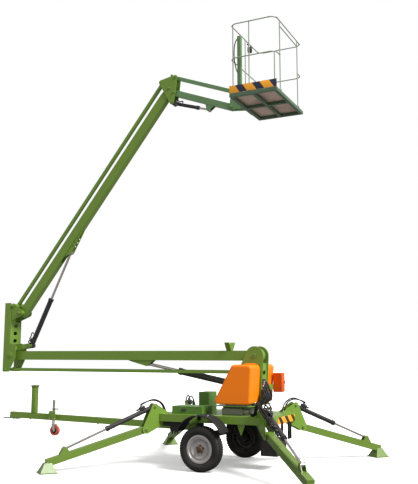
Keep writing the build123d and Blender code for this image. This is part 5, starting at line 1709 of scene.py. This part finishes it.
@dataclass
class MastShell(Gear):
    """Mast of two straight side plates, holed webs, inner head plates and ears."""

    inner: float = 0.138
    sheet: float = 0.012
    head_inner: float = 0.118
    ear_inner: float = 0.048
    tie_offset: Pair = (-0.1, -0.245)
    ear_pin: Pair = (-3.71, 1.78)
    # side outline from the foot of the back edge round
    outline: Profile = (
        (-4.212, 1.325), (-4.078, 1.325), (-3.945, 1.572), (-3.945, 1.788),
        (-4.085, 1.822), (-4.085, 2.53), (-4.212, 2.53),
    )
    boss: Profile = ((0.062, 0.0), (0.062, 0.014), (0.058, 0.015))
    # distance behind the axle, low edge, high edge
    webs: tuple[Point, ...] = ((-4.097, 1.8, 2.19), (-4.212, 1.72, 2.5))
    slot: Pair = (0.03, 0.018)
    crown_radii: Pair = (0.062, 0.042)
    crown_corners: tuple[Pair, ...] = ((-4.097, 2.215), (-4.085, 2.215), (-4.097, 2.5))
    ear_radius: float = 0.04
    ear_web: Point = (-3.997, 1.705, 1.783)
    pin_radii: Pair = (0.025, 0.018)
    pin_reach: float = 0.157
    ear_reach: float = 0.068

    def web(self, x: float, low: float, high: float, holes: Sequence[Any] = ()) -> None:
        """Adds a plate across the mast.

        Args:
            x: Its distance behind the axle.
            low: Height of its low edge.
            high: Height of its high edge.
            holes: Its holes.
        """
        half = self.inner + self.sheet / 2
        place = Matrix.Translation((self.part.axle + x, 0.0, 0.0)) @ FACING
        self.plate([(-half, low), (half, low), (half, high), (-half, high)], place, self.sheet, holes)

    def build(self) -> None:
        """Builds the mast in place of its plain solid."""
        part = self.part
        foot, head, tie = part.pivot("mast_level"), part.pivot("upper_boom_lift"), part.pivot("upper_tie_turn")
        low_tie = foot + Vector((self.tie_offset[0], 0.0, self.tie_offset[1]))
        ear = part.at(self.ear_pin[0], 0.0, self.ear_pin[1])
        edge = [(part.axle + x, z) for x, z in self.outline]
        discs = [(pin.x, pin.z, radius) for pin, radius in zip((head, tie), self.crown_radii)]
        crown = self.hull(discs, [(part.axle + x, z) for x, z in self.crown_corners])
        back, low, high = self.ear_web
        corners = [(part.axle + x, z) for x in (back, back + self.sheet) for z in (low, high)]
        wing = self.hull([(ear.x, ear.z, self.ear_radius)], corners)
        for sign in SIGNS:
            for shape, face in ((edge, self.inner), (crown, self.head_inner), (wing, self.ear_inner)):
                place = Matrix.Translation((0.0, sign * face, 0.0)) @ UPRIGHT
                self.plate(shape, place, -sign * self.sheet)
            self.turned(self.boss, (foot.x, sign * self.inner, foot.z), ACROSS * sign, 36)
        for x, low, high in self.webs:
            spots = [(low + high) / 2 + k * (high - low) / 3 for k in (-1, 0, 1)]
            self.web(x, low, high, [(0.0, spot, *self.slot) for spot in spots])
        self.web(*self.ear_web)
        for spot, radius in zip((foot, low_tie, head, tie), self.pin_radii * 2):
            self.turned([(radius, -self.pin_reach), (radius, self.pin_reach)], spot, ACROSS, 24)
        radius = self.pin_radii[1]
        self.turned([(radius, -self.ear_reach), (radius, self.ear_reach)], ear, ACROSS, 24)
        self.stand_in("mast_plates", "mast", GREEN, "mast")


@dataclass
class BoomLugs(Gear):
    """Long plates beside the booms: holed ones at the upper rod's pin, pointed ones at the lift cylinder's."""

    sheet: float = 0.0112
    gap: float = 0.0015
    sight: float = 0.6
    disc: float = 0.036
    slope: float = math.radians(51.6)
    pin_at: float = 1.421
    pin_drop: float = 0.12
    # along the boom from the pin, distance below its centre line
    corners: tuple[Pair, ...] = ((-0.12, 0.07), (0.47, 0.07), (0.45, 0.085))
    holes: tuple[Pair, ...] = ((0.115, 0.104), (0.19, 0.1), (0.265, 0.096))
    hole_radius: float = 0.013
    lift_pin: Pair = (-1.36, 1.48)
    # along the boom from the pin, distance below its underside
    lower_corners: tuple[Pair, ...] = ((-0.37, 0.0), (0.12, 0.0), (-0.3, 0.03))
    lower_half: float = 0.06

    def build(self) -> None:
        """Builds the plates over the plain lugs of both booms."""
        root = self.part.pivot("upper_boom_lift")
        lie = Matrix.Rotation(-self.slope, 4, "Y")
        pin = root + lie @ Vector((self.pin_at, 0.0, -self.pin_drop))
        corners = [(self.pin_at + s, -drop) for s, drop in self.corners]
        shape = self.hull([(self.pin_at, -self.pin_drop, self.disc)], corners)
        holes = [(self.pin_at + s, -drop, self.hole_radius, 0.0) for s, drop in self.holes]
        for sign in SIGNS:
            out = self.face(pin + lie @ Vector((-0.028, 0.0, 0.0)), sign)
            place = Matrix.Translation((root.x, sign * out, root.z)) @ lie @ UPRIGHT
            self.plate(shape, place, sign * self.sheet, holes)
        self.piece("upper_boom_lugs", "upper_boom", GREEN)
        pin = self.part.at(self.lift_pin[0], 0.0, self.lift_pin[1])
        under = self.part.pivot("lower_boom_lift").z - self.lower_half
        corners = [(pin.x + s, under - drop) for s, drop in self.lower_corners]
        shape = self.hull([(pin.x, pin.z, self.disc)], corners)
        out = self.face(pin + ALONG * 0.03, SIGNS[0])
        for sign in SIGNS:
            place = Matrix.Translation((0.0, sign * out, 0.0)) @ UPRIGHT
            self.plate(shape, place, sign * self.sheet)
        self.piece("lower_boom_lugs", "lower_boom", GREEN)

    def face(self, spot: Vector, sign: float) -> float:
        """Finds how far out a plate starts, just clear of the solid lug."""
        return abs(self.part.touch(spot + ACROSS * sign * self.sight, -ACROSS * sign)[0].y) + self.gap


@dataclass
class FixedForms(Gear):
    """Stand, slewing ring, jockey tube and gussets in their fuller forms."""

    post: float = 0.086
    cap_height: float = 0.036
    # half the diagonal, distance below the top
    cap: Profile = ((0.058, -0.044), (0.074, -0.01), (0.08, -0.009), (0.08, -0.005), (0.078, -0.004))
    bore: float = 0.17
    ring_edge: Profile = ((0.299, 0.0), (0.3, 0.001), (0.3, 0.034), (0.288, 0.036), (0.288, 0.042), (0.3, 0.044))
    worm: Point = (0.34, 0.112, 0.096)
    worm_at: Point = (-0.02, -0.306, 0.048)
    motor_at: Point = (0.15, -0.325, 0.808)
    motor: Profile = (
        (0.03, 0.0), (0.034, 0.002), (0.034, 0.01), (0.038, 0.012), (0.038, 0.094), (0.036, 0.096), (0.0, 0.096)
    )
    # radius and distance over the tube's foot, then radius and height
    tube_foot: Profile = ((0.0195, 0.0), (0.0235, 0.0), (0.0255, 0.002), (0.0255, 0.01), (0.025, 0.012))
    tube_head: Profile = ((0.025, 0.846), (0.0262, 0.848), (0.0262, 0.866), (0.024, 0.87), (0.0, 0.871))
    gusset: Profile = ((0.452, 0.649), (0.506, 0.503), (0.514, 0.499), (0.522, 0.503), (0.574, 0.649))
    gusset_at: float = 0.572
    gusset_sheet: float = 0.008

    def build(self) -> None:
        """Builds the forms."""
        self.rest()
        self.ring()
        self.tube()
        self.gussets()

    def rest(self) -> None:
        """Builds the post under the booms with its flared cap."""
        low, high, mid = box("boom_rest")
        tall = high.z - low.z - self.cap_height
        self.block((mid.x, mid.y, low.z + tall / 2), (self.post, self.post, tall), 0.008)
        before = set(self.bm.verts)
        self.turned([(radius, high.z + drop) for radius, drop in self.cap], (0.0, 0.0, 0.0), UP, 4)
        added = [v for v in self.bm.verts if v not in before]
        place = Matrix.Translation((mid.x, mid.y, 0.0)) @ Matrix.Rotation(math.pi / 4, 4, "Z")
        bmesh.ops.transform(self.bm, matrix=place, verts=added)
        self.stand_in("rest_post", "chassis", GREEN, "boom_rest")

    def ring(self) -> None:
        """Builds the slewing ring with its worm housing and motor."""
        low, high, _ = box("slew_ring")
        middle, tall = self.part.pivot("slew"), high.z - low.z
        (rim, _), (edge, chamfer) = self.ring_edge[:2]
        profile = [(self.bore, 0.0), *self.ring_edge, (edge, tall - chamfer), (rim, tall), (self.bore, tall)]
        self.turned(profile, (middle.x, middle.y, low.z), UP, 72)
        x, y, z = self.worm_at
        self.block((middle.x + x, y, low.z + z), self.worm, 0.016)
        x, y, z = self.motor_at
        self.turned(self.motor, (middle.x + x, y, z), ALONG, 32)
        self.stand_in("slewing_ring", "chassis", CAST_GREY, "slew_ring")

    def tube(self) -> None:
        """Builds the jockey wheel's outer tube with its rolled ends."""
        foot, mid = box("jockey_tube").low.z, box("jockey_leg").mid
        profile = [(radius, foot + rise) for radius, rise in self.tube_foot] + list(self.tube_head)
        self.turned(profile, (mid.x, mid.y, 0.0), UP, 32)
        self.stand_in("jockey_outer_tube", "chassis", ZINC, "jockey_tube")

    def gussets(self) -> None:
        """Builds the pointed gussets under the deck's sides."""
        shape = [(self.part.axle + x, z) for x, z in self.gusset]
        for sign in SIGNS:
            place = Matrix.Translation((0.0, sign * self.gusset_at, 0.0)) @ UPRIGHT
            self.plate(shape, place, -sign * self.gusset_sheet)
        self.piece("deck_gussets", "chassis", GREEN)


@dataclass
class RailCage(Gear):
    """Bent tube rails of the platform, its striped board, post, hand control and floor screws."""

    tube: float = 0.009
    bend: float = 0.11
    ease: float = 0.021
    gate_posts: Pair = (-0.42, 0.4)
    gate_drop: float = 0.09
    near_share: float = 0.42
    foot: Point = (0.04, 0.04, 0.005)
    board: float = 0.004
    board_height: float = 0.116
    board_fold: Pair = (0.016, 0.003)
    post_at: Pair = (0.065, -0.516)
    post_height: float = 0.935
    post_wide: float = 0.06
    post_foot: Point = (0.098, 0.098, 0.009)
    post_bolts: float = 0.039
    hose_radius: float = 0.008
    # distance in front of the post, height over its foot
    hose: tuple[Pair, ...] = (
        (0.026, 0.876), (0.05, 0.892), (0.082, 0.812), (0.092, 0.692),
        (0.086, 0.552), (0.06, 0.422), (0.034, 0.352), (0.026, 0.332),
    )
    # inward from the rail, height over the middle rail
    control_at: Pair = (0.036, 0.095)
    # height over the control's middle, size, bevel
    control: tuple[tuple[float, Point, float], ...] = (
        (0.0, (0.062, 0.052, 0.084), 0.008), (0.04, (0.044, 0.036, 0.012), 0.003)
    )
    lever_way: Point = (-0.45, 0.15, 0.88)
    lever: Profile = (
        (0.016, -0.004), (0.013, 0.008), (0.006, 0.012), (0.005, 0.05), (0.01, 0.056), (0.011, 0.074), (0.0, 0.08)
    )
    button: Profile = ((0.008, -0.001), (0.008, 0.006), (0.013, 0.008), (0.013, 0.013), (0.01, 0.016), (0.0, 0.017))
    screw_rows: tuple[int, int] = (4, 5)
    screw_radius: float = 0.006

    def rounded(self, corners: Sequence[Point], closed: bool) -> list[Vector]:
        """Points along a run of straight tube with bent corners.

        Args:
            corners: Its sharp corners.
            closed: Whether the run comes back to its start.

        Returns:
            The points in order, the first again at the end of a closed run.
        """
        spots = [Vector(c) for c in corners]
        count = len(spots)
        path: list[Vector] = []
        for k, here in enumerate(spots):
            if not closed and k in (0, count - 1):
                path.append(here)
                continue
            before, after = spots[k - 1], spots[(k + 1) % count]
            a = here + (before - here).normalized() * self.bend
            b = here + (after - here).normalized() * self.bend
            centre = a + (b - here)
            for step in range(9):
                t = math.pi / 2 * step / 8
                path.append(centre + (a - centre) * math.cos(t) + (b - centre) * math.sin(t))
        if closed:
            path.append(path[0])
        eased = [path[0]]
        for here, there in zip(path, path[1:]):
            gap = there - here
            if gap.length > 4 * self.ease:
                eased += [here + gap.normalized() * self.ease, there - gap.normalized() * self.ease]
            eased.append(there)
        return eased

    def build(self) -> None:
        """Builds the cage's pieces."""
        low, high, mid = box("guard_rail")
        half_x, half_y = (high.x - low.x) / 2 - self.tube, (high.y - low.y) / 2 - self.tube
        top, level = high.z - self.tube, low.z + (high.z - low.z) / 2
        left, right = mid.x - half_x, mid.x + half_x
        near_x = left + 2 * half_x * self.near_share
        inset = self.bend * (1 - math.sqrt(0.5))
        gate_near, gate_far = self.gate_posts
        ring = [(right, -half_y, top), (right, half_y, top), (left, half_y, top), (left, -half_y, top)]
        back = [(x, y, level) for x, y, _ in (ring[0], *ring[:0:-1])]
        middle = [(right, gate_near, level), *back, (right, gate_far, level)]
        posts = (
            (left + inset, -half_y + inset, top),
            (near_x, -half_y, top),
            (right - inset, -half_y + inset, level),
            (right, gate_near, top),
            (right, gate_far, top),
            (left, 0.0, top),
        )
        runs = [self.rounded(ring, True), self.rounded(middle, False)]
        runs += [[Vector((x, y, low.z)), Vector((x, y, z))] for x, y, z in posts]
        runs.append([Vector((right, y, top - self.gate_drop)) for y in self.gate_posts])
        rails = self.pipes("rail_tubes", "platform", runs, self.tube, RAIL_GREEN, RAIL_GREEN, 0.0)
        self.stand_for(rails, "guard_rail")
        for x, y, _ in posts:
            self.block((x, y, low.z + 0.003), self.foot, 0.001)
        self.piece("rail_feet", "platform", RAIL_GREEN)
        self.toe_board()
        self.post()
        self.control_box(near_x, -half_y, level)
        self.screws()

    def toe_board(self) -> None:
        """Builds the striped board on the near side, with its folded edge."""
        low, high, mid = box("toe_board")
        long, rise = high.x - low.x, self.board_height
        deep, thick = self.board_fold
        self.block((mid.x, low.y + self.board / 2, low.z + rise / 2), (long, self.board, rise), 0.001)
        fold = (mid.x, low.y + deep / 2, low.z + rise - thick / 2)
        self.block(fold, (long, deep, thick), 0.001)
        self.stand_in("striped_board", "platform", TOE_STRIPE, "toe_board")

    def post(self) -> None:
        """Builds the square post with its foot, bolts and hose."""
        low = box("control_post").low
        x, y, tall = low.x + self.post_at[0], self.post_at[1], self.post_height
        self.block((x, y, low.z + tall / 2), (self.post_wide, self.post_wide, tall), 0.004)
        self.block((x, y, low.z + 0.005), self.post_foot, 0.002)
        # The post takes the blue-tinted green of painted sky light
        self.stand_in("square_post", "platform", SKYLIT_PLATFORM_GREEN, "control_post")
        reach, top = self.post_bolts, low.z + 0.0095
        feet = [(Vector((x + a * reach, y + b * reach, top)), UP) for a in SIGNS for b in SIGNS]
        self.bolts("post_bolts", "platform", feet, 0.006, ZINC)
        run = [(x - dx, y, low.z + dz) for dx, dz in self.hose]
        self.pipes("post_hose", "platform", [run], self.hose_radius, ferrule=3.2)

    def control_box(self, x: float, y: float, level: float) -> None:
        """Builds the hand control's box, lever and stop button.

        Args:
            x: Place of the rail post that carries the control.
            y: The same, across.
            level: Height of the middle rail.
        """
        inward, height = y + self.control_at[0], level + self.control_at[1]
        for rise, size, bevel in self.control:
            self.block((x, inward, height + rise), size, bevel)
        self.piece("hand_control_box", "platform", DARK_PLASTIC)
        stick = Vector(self.lever_way).normalized()
        self.turned(self.lever, (x - 0.01, inward, height + 0.044), stick, 18)
        self.piece("hand_lever", "platform", DARK_PLASTIC)
        self.turned(self.button, (x + 0.016, inward, height + 0.045), UP, 20)
        self.piece("stop_button", "platform", RED)

    def screws(self) -> None:
        """Sets the screws of the floor."""
        low, high, _ = box("platform_floor")
        nx, ny = self.screw_rows
        step_x, step_y = (high.x - low.x - 0.06) / (nx - 1), (high.y - low.y - 0.08) / (ny - 1)
        spots = [(low.x + 0.03 + i * step_x, low.y + 0.05 + j * step_y) for i in range(nx) for j in range(ny)]
        feet = [(Vector((x, y, high.z)), UP) for x, y in spots]
        self.bolts("floor_screws", "platform", feet, self.screw_radius, ZINC, Style.ROUND)


@dataclass
class Studio:
    """Floor, light and camera."""

    eye: Point = (5.703, -10.237, 1.642)
    azimuth: float = 25.438
    pitch: float = 8.777
    lens: float = 53.72
    sensor: float = 36.0
    clip: Pair = (0.1, 300.0)
    floor_radius: float = 60.0
    floor_colour: tuple[float, ...] = (0.86, 0.86, 0.85, 1.0)
    floor_glow: float = 0.3
    ambient: float = 0.62
    sun_strength: float = 4.9
    sun_spread: float = 24.0
    sun_way: Point = (-0.7, 0.12, -0.7)
    bounce: float = 0.22
    white: tuple[float, ...] = (1.0, 1.0, 1.0, 1.0)

    def build(self) -> None:
        """Builds the studio."""
        self.floor()
        self.world()
        self.light()
        self.camera()

    @staticmethod
    def emptied(owner: Any) -> Graph:
        """Clears the nodes of a material or world.

        Args:
            owner: The material or world.

        Returns:
            Its graph.
        """
        owner.use_nodes = True
        owner.node_tree.nodes.clear()
        return Graph(owner.node_tree)

    def floor(self) -> None:
        """Builds the pale floor, white to the camera apart from the shadow on it."""
        bm = bmesh.new()
        bmesh.ops.create_circle(bm, cap_ends=True, segments=64, radius=self.floor_radius)
        mesh = bpy.data.meshes.new("floor")
        bm.to_mesh(mesh)
        bm.free()
        floor = shown("floor", mesh)
        made = bpy.data.materials.new("studio_floor")
        graph = self.emptied(made)
        out = graph.node("ShaderNodeOutputMaterial")
        dull = graph.node("ShaderNodeBsdfDiffuse", {"Color": (self.bounce, self.bounce, self.bounce, 1.0)})
        matt = graph.node("ShaderNodeBsdfDiffuse", {"Color": self.floor_colour})
        glow = graph.node("ShaderNodeEmission", {"Color": self.white, "Strength": self.floor_glow})
        seen = graph.node("ShaderNodeLightPath").outputs["Is Camera Ray"]
        both = graph.node("ShaderNodeAddShader", {0: matt.outputs[0], 1: glow.outputs[0]})
        mixed = graph.node("ShaderNodeMixShader", {0: seen, 1: dull.outputs[0], 2: both.outputs[0]})
        graph.link(mixed.outputs[0], out.inputs["Surface"])
        mesh.materials.append(made)

    def world(self) -> None:
        """Builds the even sky, white where it is seen or shows through."""
        world = bpy.data.worlds.new("studio")
        bpy.context.scene.world = world
        graph = self.emptied(world)
        out = graph.node("ShaderNodeOutputWorld")
        seen = graph.node("ShaderNodeLightPath").outputs
        rays = graph.maths("MAXIMUM", seen["Is Camera Ray"], seen["Is Transmission Ray"])
        light = graph.node("ShaderNodeBackground", {"Color": self.white, "Strength": self.ambient})
        backdrop = graph.node("ShaderNodeBackground", {"Color": self.white, "Strength": 1.0})
        mixed = graph.node("ShaderNodeMixShader", {0: rays, 1: light.outputs[0], 2: backdrop.outputs[0]})
        graph.link(mixed.outputs[0], out.inputs["Surface"])

    def light(self) -> None:
        """Builds one broad, soft key light."""
        data = bpy.data.lights.new("key", "SUN")
        data.energy = self.sun_strength
        data.angle = math.radians(self.sun_spread)
        self.aim(shown("key", data), Vector(self.sun_way))

    def camera(self) -> None:
        """Builds the camera."""
        a, p = math.radians(self.azimuth), math.radians(self.pitch)
        ahead = Vector((-math.sin(a) * math.cos(p), math.cos(a) * math.cos(p), math.sin(p)))
        data = bpy.data.cameras.new("camera")
        data.lens = self.lens
        data.sensor_width = self.sensor
        data.clip_start, data.clip_end = self.clip
        made = shown("camera", data)
        made.location = Vector(self.eye)
        self.aim(made, ahead)
        bpy.context.scene.camera = made

    @staticmethod
    def aim(made: Piece, ahead: Vector) -> None:
        """Turns a lamp or camera to a direction."""
        made.rotation_mode = "QUATERNION"
        made.rotation_quaternion = ahead.to_track_quat("-Z", "Y")


def main() -> None:
    """Builds every sub-assembly in order."""
    logging.basicConfig(level=logging.INFO, format="%(name)s %(message)s")
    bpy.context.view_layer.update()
    bpy.context.scene.view_settings.view_transform = "Standard"
    shop = (Finisher(), Trees(), Part())
    shop[0].dress_nodes()
    for side in SIDES:
        RoadWheel(*shop, side).build()
    PinEnds(*shop).build()
    for corner in CORNERS:
        OutriggerGear(*shop, corner).build()
    for gear in (TurretGear, DeckGear, BoomGear, RailCage, MastShell, BoomLugs, FixedForms):
        gear(*shop).build()
    Studio().build()


if __name__ == "__main__":
    main()
